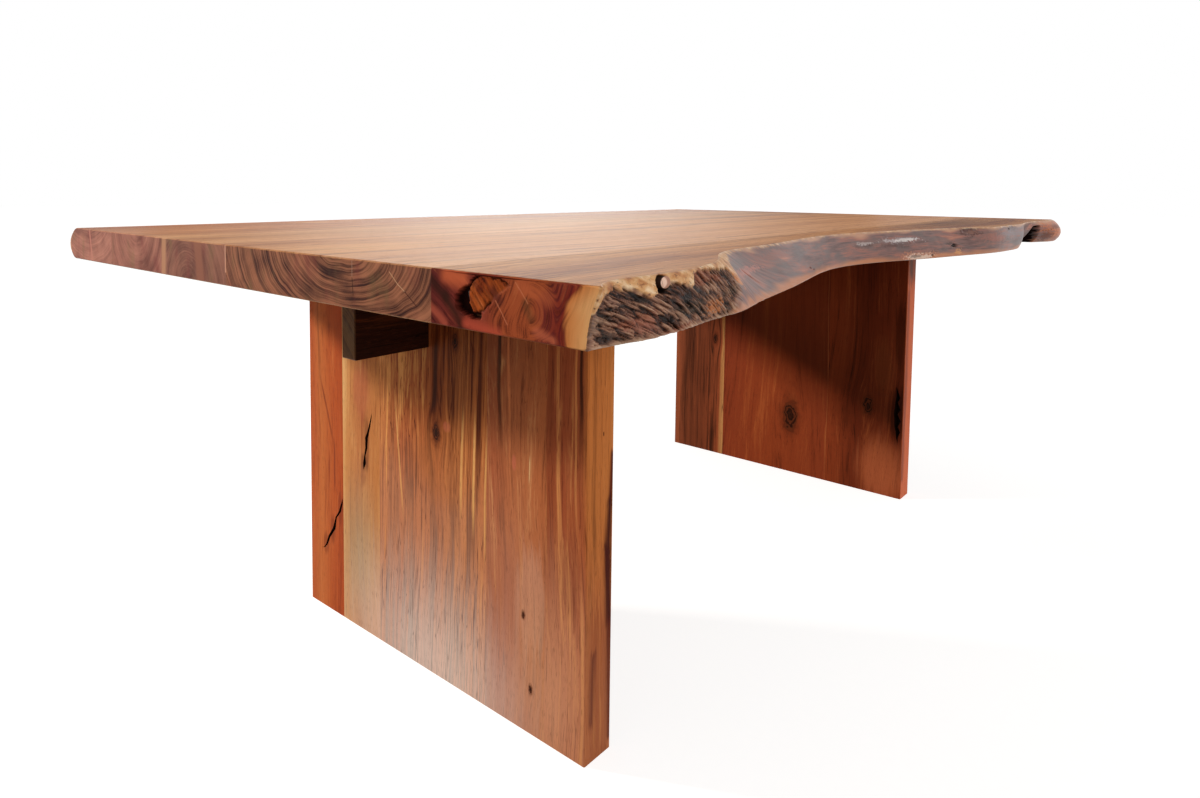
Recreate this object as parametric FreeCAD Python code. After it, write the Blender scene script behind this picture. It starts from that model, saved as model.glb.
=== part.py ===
"""Live edge dining table: a glued-up slab top on two panel legs, with one deep beam on edge.

Millimetres. X runs along the top's length and its grain, Y across it, and Z up. The live edge is
on the -Y side. The origin is on the floor, under the middle of the top.
"""
import FreeCAD, Part
import os
from FreeCAD import Vector

# Overall sizes
table_height = 760.0
top_length = 2130.0
top_thickness = 58.0
knee_gap = 1320.0                 # clear distance between the two legs
leg_thickness = 62.0
arris = 1.5                       # small chamfer along sawn edges

# Top boards, from the back edge to the live edge, measured to the widest place of each edge
back_board_width = 209.0
second_board_width = 223.0
third_board_width = 191.0
wide_board_width = 437.0
live_board_width = 230.0

# Leg boards, from the back edge of the panel to its front edge
near_leg_widths = (113.0, 115.0, 279.0, 125.0, 78.0)
far_leg_first_width = 175.0
far_leg_second_width = 329.0

# Beam on edge under the top
beam_thickness = 35.0
beam_height = 132.0
beam_reach = 150.0                # how far it stands out past the outside face of each leg
beam_set_over = 7.0               # the beam lies this much behind the middle
notch_clearance = 0.5             # each side of the beam in a leg's notch

# Live edge: share of the length from the near end, then how far the edge lies behind the front
# line at the underside, at half thickness and at the upper face
live_edge = (
    (0.000, 25.0, 21.0, 8.0),
    (0.012, 23.0, 20.0, 25.0),
    (0.031, 17.0, 21.0, 32.0),
    (0.063, 17.0, 19.0, 29.0),
    (0.101, 28.0, 29.0, 39.0),
    (0.139, 35.0, 43.0, 64.0),
    (0.176, 53.0, 73.0, 105.0),
    (0.209, 68.0, 97.0, 126.0),
    (0.265, 91.0, 113.0, 137.0),
    (0.336, 126.0, 140.0, 158.0),
    (0.415, 154.0, 160.0, 172.0),
    (0.491, 140.0, 145.0, 158.0),
    (0.566, 100.0, 108.0, 126.0),
    (0.641, 65.0, 70.0, 84.0),
    (0.697, 39.0, 33.0, 39.0),
    (0.754, 29.0, 25.0, 34.0),
    (0.805, 39.0, 27.0, 31.0),
    (0.843, 79.0, 55.0, 39.0),
    (0.894, 75.0, 60.0, 45.0),
    (0.937, 45.0, 27.0, 37.0),
    (0.969, 23.0, 3.0, 28.0),
    (1.000, 41.0, 15.0, 39.0),
)

# Back edge: share of the length, then how far it lies inside the back line at the same heights
back_edge = (
    (0.00, 25.0, 3.0, 35.0),
    (0.17, 29.0, 7.0, 37.0),
    (0.34, 22.0, 1.0, 32.0),
    (0.52, 27.0, 6.0, 36.0),
    (0.70, 24.0, 2.0, 33.0),
    (0.86, 31.0, 9.0, 40.0),
    (1.00, 26.0, 4.0, 36.0),
)

# Dead branch stub in its hole in the live edge
stub_from_end = 122.0
stub_below_top = 8.5
stub_set_back = 28.0              # its face lies this much behind the front line
stub_radius = 6.5
stub_length = 42.0
stub_hollow_radius = 10.5
stub_hollow_offset = 4.0          # the hollow is not centred on the stub, but nearer the end
stub_hollow_depth = 12.0
stub_clearance = 0.2

# Dowels in the glue joints
top_dowel_radius = 6.0
top_dowel_length = 100.0
top_dowel_pitch = 360.0
top_dowels_per_seam = 6
leg_dowel_radius = 5.0
leg_dowel_length = 60.0
leg_dowel_pitch = 160.0
leg_dowel_first_height = 90.0
leg_dowels_per_seam = 4
beam_dowel_radius = 6.0
beam_dowel_length = 60.0
dowel_clearance = 0.1             # radial
glue_room = 2.0                   # left beyond one end of a dowel

# Cleats that tie the legs to the top
cleat_side = 45.0
cleat_length = 275.0
cleat_to_beam = 20.0
cleat_end_margin = 33.0           # from a cleat's end to its first fastener
screws_per_cleat = 3
screw_radius = 3.0
screw_head_radius = 6.0
screw_head_height = 3.5
screw_length = 80.0
screw_below_top = 30.0
bolts_per_cleat = 2
bolt_radius = 4.0
bolt_head_across_corners = 15.0
bolt_head_height = 5.3
bolt_in_insert = 18.0
washer_radius = 12.0
washer_thickness = 2.0
slot_length = 20.0                # end to end, across the grain of the top
slot_clearance = 0.5
insert_radius = 6.0
insert_length = 20.0
insert_pocket = 1.0               # left above an insert
thread_clearance = 0.1

# Lag screws up through counterbores in the beam
beam_screws = 4
beam_screw_pitch = 240.0
beam_screw_wood = 40.0            # beam wood left between a counterbore and the top
beam_screw_bite = 36.0            # length in the top
beam_counterbore_radius = 13.0

# Derived places
UP, ALONG, ACROSS = Vector(0, 0, 1), Vector(1, 0, 0), Vector(0, 1, 0)
underside = table_height - top_thickness
half_length = top_length / 2
leg_width = sum(near_leg_widths)
far_leg_widths = (far_leg_first_width, far_leg_second_width,
                  leg_width - far_leg_first_width - far_leg_second_width)
top_width = (back_board_width + second_board_width + third_board_width
             + wide_board_width + live_board_width)
back_line, front_line = top_width / 2, -top_width / 2
seam_1 = back_line - back_board_width
seam_2 = seam_1 - second_board_width
seam_3 = seam_2 - third_board_width
seam_4 = seam_3 - wide_board_width
leg_centre = knee_gap / 2 + leg_thickness / 2
beam_half_length = knee_gap / 2 + leg_thickness + beam_reach
beam_bottom = underside - beam_height
cleat_centre = knee_gap / 2 - cleat_side / 2
cleat_bottom = underside - cleat_side


def box(low, high):
    """A box from its lowest to its highest corner."""
    return Part.makeBox(high[0] - low[0], high[1] - low[1], high[2] - low[2], Vector(*low))


def rod(radius, start, direction, length):
    return Part.makeCylinder(radius, length, Vector(*start), direction)


def row(count, pitch):
    """Places of a row of things, centred on zero."""
    return [(i - (count - 1) / 2) * pitch for i in range(count)]


def spread(count, low, high):
    """Places spread evenly from low to high, both included."""
    return [low + (high - low) * i / (count - 1) for i in range(count)]


def chamfered(solid, picked):
    """The solid with a small chamfer on the edges for which picked(edge's middle) is true."""
    edges = [e for e in solid.Edges if picked(e.BoundBox.Center)]
    return solid.makeChamfer(arris, edges)


def group(shapes):
    return Part.makeCompound(shapes)


def drilled(solid, tools):
    return solid.cut(group(tools))


def save(name, shape):
    solids = shape.Solids
    shape = solids[0] if len(solids) == 1 else group(solids)
    shape.exportStep("parts/" + name + ".step")
    size = shape.BoundBox
    print("%-20s %2d solids  %7.1f x %7.1f x %6.1f" % (
        name, len(solids), size.XLength, size.YLength, size.ZLength))


# ---- what crosses from one piece into another, placed once and used for pieces and holes ----

def top_dowel_places(seam):
    height = underside + top_thickness / 2
    return [(x, seam, height) for x in row(top_dowels_per_seam, top_dowel_pitch)]


def leg_dowel_places(side, widths):
    """Dowels in one leg: side is -1 for the near leg and 1 for the far leg."""
    places, seam = [], leg_width / 2
    for width in widths[:-1]:
        seam -= width
        for i in range(leg_dowels_per_seam):
            places.append((side * leg_centre, seam, leg_dowel_first_height + i * leg_dowel_pitch))
    return places


def cross_dowels(places, radius, length):
    """Dowels along Y, centred on their seam."""
    return [rod(radius, (x, y - length / 2, z), ACROSS, length) for x, y, z in places]


def cross_dowel_holes(places, radius, length):
    """Their holes, with glue room beyond the front end."""
    long = length + glue_room
    return [rod(radius + dowel_clearance, (x, y - length / 2 - glue_room, z), ACROSS, long)
            for x, y, z in places]


def beam_dowel_parts(extra_radius, extra_below):
    """A dowel on end in the bottom of each notch, half in the leg and half in the beam."""
    start = beam_bottom - beam_dowel_length / 2 - extra_below
    long = beam_dowel_length + extra_below
    return [rod(beam_dowel_radius + extra_radius, (side * leg_centre, beam_set_over, start), UP, long)
            for side in (-1, 1)]


def cleat_span(hand):
    """Lowest and highest y of a cleat: hand is 1 behind the beam and -1 in front of it."""
    inner = beam_set_over + hand * (beam_thickness / 2 + cleat_to_beam)
    outer = inner + hand * cleat_length
    return min(inner, outer), max(inner, outer)


def cleat_fastener_places():
    """Every cleat's side and hand, with the y places of its screws and of its bolts."""
    places = []
    for side in (-1, 1):
        for hand in (1, -1):
            low, high = cleat_span(hand)
            screws = spread(screws_per_cleat, low + cleat_end_margin, high - cleat_end_margin)
            step = (screws[1] - screws[0]) / 2
            bolts = [y + step for y in screws[:bolts_per_cleat]]
            places.append((side, hand, screws, bolts))
    return places


def cleat_screw(side, y):
    """A countersunk wood screw through a cleat into the leg behind it, and also its hole."""
    start = (side * (knee_gap / 2 - cleat_side), y, underside - screw_below_top)
    way = ALONG * side
    shank = rod(screw_radius, start, way, screw_length)
    head = Part.makeCone(screw_head_radius, screw_radius, screw_head_height, Vector(*start), way)
    return shank.fuse(head)


def hexagon(across_corners, centre, height):
    """A hexagonal prism on end."""
    turn = FreeCAD.Rotation(UP, 60)
    arm, points = Vector(across_corners / 2, 0, 0), []
    for _ in range(6):
        points.append(Vector(*centre) + arm)
        arm = turn.multVec(arm)
    face = Part.Face(Part.makePolygon(points + points[:1]))
    return face.extrude(UP * height)


def bolt_start(side, y):
    """Middle of the underside of a cleat bolt's head seat, under its washer."""
    return side * cleat_centre, y, cleat_bottom - washer_thickness


def cleat_bolt(side, y):
    x, y, z = bolt_start(side, y)
    long = washer_thickness + cleat_side + bolt_in_insert
    shank = rod(bolt_radius, (x, y, z), UP, long)
    head = hexagon(bolt_head_across_corners, (x, y, z - bolt_head_height), bolt_head_height)
    return shank.fuse(head)


def washer(x, y, z):
    disc = rod(washer_radius, (x, y, z), UP, washer_thickness)
    return disc.cut(rod(bolt_radius + slot_clearance, (x, y, z), UP, washer_thickness))


def threaded_insert(side, y):
    x = side * cleat_centre
    body = rod(insert_radius, (x, y, underside), UP, insert_length)
    return body.cut(rod(bolt_radius + thread_clearance, (x, y, underside), UP, insert_length))


def insert_hole(side, y):
    return rod(insert_radius, (side * cleat_centre, y, underside), UP, insert_length + insert_pocket)


def cleat_slot(side, y):
    """A slot through a cleat, long across the top's grain."""
    x = side * cleat_centre
    radius = bolt_radius + slot_clearance
    reach = slot_length / 2 - radius
    ends = [rod(radius, (x, y + e, cleat_bottom), UP, cleat_side) for e in (-reach, reach)]
    middle = box((x - radius, y - reach, cleat_bottom), (x + radius, y + reach, underside))
    return middle.fuse(ends)


def beam_screw_seat():
    return underside - beam_screw_wood


def beam_screw(x):
    """A lag screw with its head in a counterbore from the beam's lower edge."""
    z = beam_screw_seat() - washer_thickness
    long = washer_thickness + beam_screw_wood + beam_screw_bite
    shank = rod(bolt_radius, (x, beam_set_over, z), UP, long)
    head = hexagon(bolt_head_across_corners, (x, beam_set_over, z - bolt_head_height),
                   bolt_head_height)
    return shank.fuse(head)


def beam_screw_hole(x):
    """Hole for the shank, through the beam's upper part and into the top."""
    long = beam_screw_wood + beam_screw_bite
    return rod(bolt_radius + thread_clearance, (x, beam_set_over, beam_screw_seat()), UP, long)


# ---- the top ----

def natural_board(seam, line, outward, stations):
    """A board with a straight seam and a natural edge, lofted through three heights."""
    wires = []
    for level in range(3):
        z = underside + level * top_thickness / 2
        edge = [Vector(share * top_length - half_length, line - outward * inset[level], z)
                for share, *inset in stations]
        curve = Part.BSplineCurve()
        curve.interpolate(edge)
        corners = [edge[-1], Vector(half_length, seam, z), Vector(-half_length, seam, z), edge[0]]
        sides = [Part.makeLine(a, b) for a, b in zip(corners, corners[1:])]
        wires.append(Part.Wire([curve.toShape()] + sides))
    return Part.makeLoft(wires, True)


def end_arris_cutters():
    """Thin wedges that take the sharp edge off both ends of the top, above and below."""
    cutters = []
    for side in (-1, 1):
        for z, inward in ((table_height, -1), (underside, 1)):
            x = side * half_length
            corners = [Vector(x, front_line, z), Vector(x - side * arris, front_line, z),
                       Vector(x, front_line, z + inward * arris)]
            face = Part.Face(Part.makePolygon(corners + corners[:1]))
            cutters.append(face.extrude(ACROSS * top_width))
    return cutters


def stub_place():
    """Where the stub's face is, and the bottom of the hollow around it."""
    x = stub_from_end - half_length
    z = table_height - stub_below_top
    return x, front_line + stub_set_back, z


def stub_holes():
    """The open hollow in front of the stub, and the hole that holds it."""
    x, face, z = stub_place()
    bottom = face + stub_hollow_depth
    hollow = rod(stub_hollow_radius, (x - stub_hollow_offset, bottom, z), -ACROSS,
                 stub_hollow_depth + stub_set_back)
    hole = rod(stub_radius + stub_clearance, (x, face, z), ACROSS, stub_length)
    return [hollow, hole]


def make_top():
    holes = end_arris_cutters()
    dowels = []
    for seam in (seam_1, seam_2, seam_3, seam_4):
        places = top_dowel_places(seam)
        dowels += cross_dowels(places, top_dowel_radius, top_dowel_length)
        holes += cross_dowel_holes(places, top_dowel_radius, top_dowel_length)
    for side, _, _, bolts in cleat_fastener_places():
        holes += [insert_hole(side, y) for y in bolts]
    holes += [beam_screw_hole(x) for x in row(beam_screws, beam_screw_pitch)]
    boards = [natural_board(seam_1, back_line, 1, back_edge)]
    for high, low in ((seam_1, seam_2), (seam_2, seam_3), (seam_3, seam_4)):
        boards.append(box((-half_length, low, underside), (half_length, high, table_height)))
    boards.append(natural_board(seam_4, front_line, -1, live_edge))
    for number, board in enumerate(boards, 1):
        tools = holes + (stub_holes() if number == len(boards) else [])
        save("top_board_%d" % number, drilled(board, tools))
    save("top_dowels", group(dowels))
    x, face, z = stub_place()
    save("edge_stub", rod(stub_radius, (x, face, z), ACROSS, stub_length))


# ---- the legs ----

def make_leg(name, side, widths):
    inside, outside = side * knee_gap / 2, side * (knee_gap / 2 + leg_thickness)
    low_x, high_x = min(inside, outside), max(inside, outside)
    places = leg_dowel_places(side, widths)
    half_notch = beam_thickness / 2 + notch_clearance
    holes = cross_dowel_holes(places, leg_dowel_radius, leg_dowel_length)
    holes.append(box((low_x, beam_set_over - half_notch, beam_bottom),
                     (high_x, beam_set_over + half_notch, underside)))
    holes += beam_dowel_parts(dowel_clearance, glue_room)
    for at, _, screws, _ in cleat_fastener_places():
        if at == side:
            holes += [cleat_screw(side, y) for y in screws]
    high = leg_width / 2
    for number, width in enumerate(widths, 1):
        low = high - width
        board = box((low_x, low, 0), (high_x, high, underside))
        edge = high if number == 1 else low
        if number in (1, len(widths)):
            board = chamfered(board, lambda p: abs(p.y - edge) < arris / 2
                              and abs(p.z - underside / 2) < arris)
        save("%s_board_%d" % (name, number), drilled(board, holes))
        high = low
    save(name + "_dowels", group(cross_dowels(places, leg_dowel_radius, leg_dowel_length)))


# ---- the beam, the cleats and what holds them ----

def make_beam():
    half = beam_thickness / 2
    beam = box((-beam_half_length, beam_set_over - half, beam_bottom),
               (beam_half_length, beam_set_over + half, underside))
    beam = chamfered(beam, lambda p: abs(abs(p.x) - beam_half_length) < arris / 2
                     and p.z < underside - arris)
    holes = beam_dowel_parts(dowel_clearance, 0)
    screws, washers = [], []
    seat = beam_screw_seat()
    for x in row(beam_screws, beam_screw_pitch):
        holes += [rod(beam_counterbore_radius, (x, beam_set_over, beam_bottom), UP, seat - beam_bottom),
                  beam_screw_hole(x)]
        screws.append(beam_screw(x))
        washers.append(washer(x, beam_set_over, seat - washer_thickness))
    save("beam", drilled(beam, holes))
    save("beam_dowels", group(beam_dowel_parts(0, 0)))
    save("beam_screws", group(screws))
    save("beam_washers", group(washers))


def make_cleats():
    screws, bolts, washers, inserts = [], [], [], []
    for side, hand, screw_ys, bolt_ys in cleat_fastener_places():
        low, high = cleat_span(hand)
        centre = side * cleat_centre
        cleat = box((centre - cleat_side / 2, low, cleat_bottom),
                    (centre + cleat_side / 2, high, underside))
        free_edge = side * (knee_gap / 2 - cleat_side)
        cleat = chamfered(cleat, lambda p: abs(p.x - free_edge) < arris and p.z < cleat_bottom + arris)
        holes = [cleat_screw(side, y) for y in screw_ys]
        holes += [cleat_slot(side, y) for y in bolt_ys]
        name = "%s_cleat_%s" % ("near" if side < 0 else "far", "back" if hand > 0 else "front")
        save(name, drilled(cleat, holes))
        screws += [cleat_screw(side, y) for y in screw_ys]
        for y in bolt_ys:
            bolts.append(cleat_bolt(side, y))
            washers.append(washer(*bolt_start(side, y)))
            inserts.append(threaded_insert(side, y))
    save("cleat_screws", group(screws))
    save("cleat_bolts", group(bolts))
    save("cleat_washers", group(washers))
    save("threaded_inserts", group(inserts))


os.makedirs("parts", exist_ok=True)
make_top()
make_leg("near_leg", -1, near_leg_widths)
make_leg("far_leg", 1, far_leg_widths)
make_beam()
make_cleats()
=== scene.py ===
"""Live edge dining table: the looks.

Metres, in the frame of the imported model: X along the top, the live edge on the -Y side, Z up.
The tables of places and sizes are in millimetres, and colours are written as a screen shows them.
"""

import math

import bmesh
import bpy
from mathutils import Matrix, Vector, noise
from mathutils.bvhtree import BVHTree
from mathutils.geometry import delaunay_2d_cdt, intersect_point_line


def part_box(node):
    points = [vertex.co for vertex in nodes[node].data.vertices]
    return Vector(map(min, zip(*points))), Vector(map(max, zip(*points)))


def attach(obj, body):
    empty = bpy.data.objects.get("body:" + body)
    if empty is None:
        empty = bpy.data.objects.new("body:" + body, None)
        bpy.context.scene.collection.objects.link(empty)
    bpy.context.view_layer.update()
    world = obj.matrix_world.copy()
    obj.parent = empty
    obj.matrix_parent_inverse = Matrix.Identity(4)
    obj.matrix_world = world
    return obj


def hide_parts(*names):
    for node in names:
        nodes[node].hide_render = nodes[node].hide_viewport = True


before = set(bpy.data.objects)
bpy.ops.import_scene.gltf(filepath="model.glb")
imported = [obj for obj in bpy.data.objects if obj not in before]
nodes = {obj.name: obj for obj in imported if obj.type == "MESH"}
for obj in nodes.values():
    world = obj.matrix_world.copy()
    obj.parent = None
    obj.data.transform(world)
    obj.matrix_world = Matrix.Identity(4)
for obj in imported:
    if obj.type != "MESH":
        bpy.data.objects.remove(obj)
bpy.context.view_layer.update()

MM = 0.001

WHITE = (255, 255, 255)
CREAM = (222, 180, 126)
PALE = (212, 162, 108)
TAN = (190, 138, 92)
HONEY = (190, 122, 70)
ROSE = (166, 100, 84)
RED_BROWN = (148, 74, 44)
BROWN = (118, 68, 42)
UMBER = (74, 38, 22)
DARK = (38, 18, 10)
BLACK = (14, 8, 6)


def tone(red, green, blue, light=1.0):
    """A screen colour, 0 to 255, as the linear value that shaders take, times a share of light."""
    shares = [value / 255 for value in (red, green, blue)]
    linear = [s / 12.92 if s <= 0.04045 else ((s + 0.055) / 1.055) ** 2.4 for s in shares]
    return (*(light * value for value in linear), 1.0)


def metres(*lengths):
    """Millimetres as metres, also inside nested tuples."""
    return tuple(metres(*v) if isinstance(v, tuple) else v * MM for v in lengths)


def put(name, data):
    """A new object in the scene."""
    piece = bpy.data.objects.new(name, data)
    bpy.context.scene.collection.objects.link(piece)
    return piece


def build(name, points, faces, *materials):
    """A new object of the given points and faces."""
    mesh = bpy.data.meshes.new(name)
    mesh.from_pydata(points, [], faces)
    for material in materials:
        mesh.materials.append(material)
    return put(name, mesh)


def stand_in(piece, node):
    """The piece shows in the place of its CAD node."""
    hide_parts(node)
    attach(piece, "root")


def paint(name, material):
    slots = nodes[name].data.materials
    slots.clear()
    slots.append(material)


# ---- shader nodes ----

class Value:
    """A number that a shader works out, so that a formula is written as one."""

    def __init__(self, graph, socket):
        self.graph, self.socket = graph, socket

    def __add__(self, other):
        return self.graph.math("ADD", self, other)

    def __sub__(self, other):
        return self.graph.math("SUBTRACT", self, other)

    def __mul__(self, other):
        return self.graph.math("MULTIPLY", self, other)

    def __truediv__(self, number):
        return self * (1 / number)

    def __abs__(self):
        return self.graph.math("ABSOLUTE", self)


class Graph:
    """The node tree of a new material or world, with a short method for each kind of node."""

    def __init__(self, name, kind="materials"):
        self.owner = getattr(bpy.data, kind).new(name)
        self.owner.use_nodes = True
        self.tree = self.owner.node_tree
        self.tree.nodes.clear()

    def add(self, kind, *inputs, **named):
        """A node with its first inputs. Named values with a capital are inputs too, others settings."""
        node = self.tree.nodes.new("ShaderNode" + kind)
        for key, value in named.items():
            if key[0].isupper():
                self.feed(node.inputs[key.replace("_", " ")], value)
            else:
                setattr(node, key, value)
        for socket, value in zip(node.inputs, inputs):
            self.feed(socket, value)
        return node

    def feed(self, socket, value):
        """value: a number, a colour, the three values of a vector, a node or a node's output."""
        if isinstance(value, tuple):
            value = tone(*value) if socket.type == "RGBA" else self.add("CombineXYZ", *value)
        if isinstance(value, bpy.types.Node):
            value = value.outputs[0]
        if isinstance(value, Value):
            value = value.socket
        if isinstance(value, bpy.types.NodeSocket):
            self.tree.links.new(value, socket)
        else:
            socket.default_value = value

    def value(self, kind, *inputs, **named):
        return Value(self, self.add(kind, *inputs, **named).outputs[0])

    def math(self, operation, *values, clamp=False):
        return self.value("Math", *values, operation=operation, use_clamp=clamp)

    def length(self, a, b):
        return self.math("SQRT", a * a + b * b)

    def smooth(self, value, low, high, start=0.0, end=1.0):
        """Smooth step: start at low, end at high."""
        return self.value("MapRange", value, low, high, start, end, interpolation_type="SMOOTHSTEP")

    def blend(self, share, a, b):
        node = self.add("Mix", share, data_type="RGBA")
        for socket, colour in zip([s for s in node.inputs if s.type == "RGBA"], (a, b)):
            self.feed(socket, colour)
        return next(s for s in node.outputs if s.type == "RGBA")

    def ramp(self, share, stops):
        node = self.add("ValToRGB", share)
        elements = node.color_ramp.elements
        while len(elements) < len(stops):
            elements.new(1.0)
        for element, (place, colour) in zip(elements, stops):
            element.position = place
            element.color = tone(*colour)
        return node.outputs[0]

    def split(self, vector):
        return [Value(self, s) for s in self.add("SeparateXYZ", vector).outputs]

    def place(self):
        """x, y and z of the point."""
        return self.split(self.add("TexCoord").outputs["Object"])

    def facing(self):
        """x, y and z of the surface's normal."""
        return self.split(self.add("NewGeometry").outputs["Normal"])

    def mask(self, key):
        return Value(self, self.add("Attribute", attribute_name=key).outputs["Fac"])

    def noise(self, where, detail=2.0, roughness=0.5, scale=1.0):
        return self.value("TexNoise", Vector=where, Detail=detail, Roughness=roughness, Scale=scale)

    def centred(self, where, gain, **settings):
        """Noise spread around zero, as noise itself stays near the middle of 0 to 1."""
        return (self.noise(where, **settings) - 0.5) * gain

    def spot(self, a, b, centre, radii, ragged, core):
        """1 inside an ellipse in the plane of a and b, fading to 0 from its core to its rim."""
        away = self.length((a - centre[0]) / radii[0], (b - centre[1]) / radii[1])
        return self.smooth(away + ragged, core, 1.15, 1.0, 0.0)

    def stroke(self, a, b, start, end, half, core=0.4):
        """1 along a straight line from start to end, fading to 0 at half its width."""
        run_a, run_b = end[0] - start[0], end[1] - start[1]
        long = run_a ** 2 + run_b ** 2
        da, db = a - start[0], b - start[1]
        share = self.math("ADD", da * (run_a / long), db * (run_b / long), clamp=True)
        away = self.length(da - share * run_a, db - share * run_b)
        return self.smooth(away, half * core, half, 1.0, 0.0)

    def surface(self, colour, roughness, height=None, bump=0.0, **constants):
        """The principled shader. Constants are set on its own sockets."""
        shader = self.add("BsdfPrincipled", Base_Color=colour, Roughness=roughness, **constants)
        if height is not None:
            relief = self.add("Bump", Strength=1.0, Distance=bump, Height=height)
            self.feed(shader.inputs["Normal"], relief)
        self.add("OutputMaterial", shader)
        return self.owner


# ---- wood ----

BROAD_PATCH = 120 * MM               # a patch longer than this fades softly from its middle on
FLAT_ENOUGH = (0.6, 0.85)            # how squarely a face has to look along an axis to count as one


class Grain:
    """Where a point lies in a board: along, across and through it, and how its grain wanders."""

    def __init__(self, g, grain, wander, seed):
        x, y, z = g.place()
        self.g = g
        self.along, self.across, self.through = (x, y, z) if grain == "x" else (z, y, x)
        self.shifted = self.along + seed
        slow, fine = self.drift(1.3, 1.6, 1.0), self.drift(5.0, 14.0, 2.0)
        self.v, self.w = (
            value + ((slow[i] - 0.5) * (0.075 * wander) + (fine[i] - 0.5) * (0.011 * wander))
            for i, value in enumerate((self.across, self.through)))
        self.knots = []

    def drift(self, lengthwise, crosswise, detail):
        where = (self.shifted * lengthwise, self.across * crosswise, self.through * crosswise)
        node = self.g.add("TexNoise", Vector=where, Scale=1.0, Detail=detail)
        return self.g.split(node.outputs["Color"])

    def bend_round(self, knots):
        """The grain parts round each knot. knots: (along, across, radius)."""
        g = self.g
        for at, side, radius in knots:
            off = self.v - side
            away = g.length((self.along - at) / 2.6, off)
            self.v = self.v - off * g.smooth(away, 0.0, radius * 3.4, 0.88, 0.0)
            away = g.length((self.along - at) / 1.9, self.across - side)
            rag = g.centred((self.along, self.across, self.through), radius * 1.1, scale=1.1 / radius)
            self.knots.append((away + rag, radius))

    def streak(self, lengthwise, crosswise, gain, detail=3.0, roughness=0.6, offset=0.0):
        """Noise drawn out along the grain, around zero."""
        where = (self.shifted * lengthwise + offset, self.v * crosswise, self.w * crosswise)
        return self.g.centred(where, gain, detail=detail, roughness=roughness)

    def rings(self, pith, taper, flatness):
        """Distance from the middle of the log, which runs at a slight angle, and the turn round it."""
        dv = self.v - pith[0]
        dw = (self.w - pith[1]) * flatness + self.along * taper
        away = self.g.length(dv, dw)
        return away, self.g.math("DIVIDE", dv * 0.6, away + MM)


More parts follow.
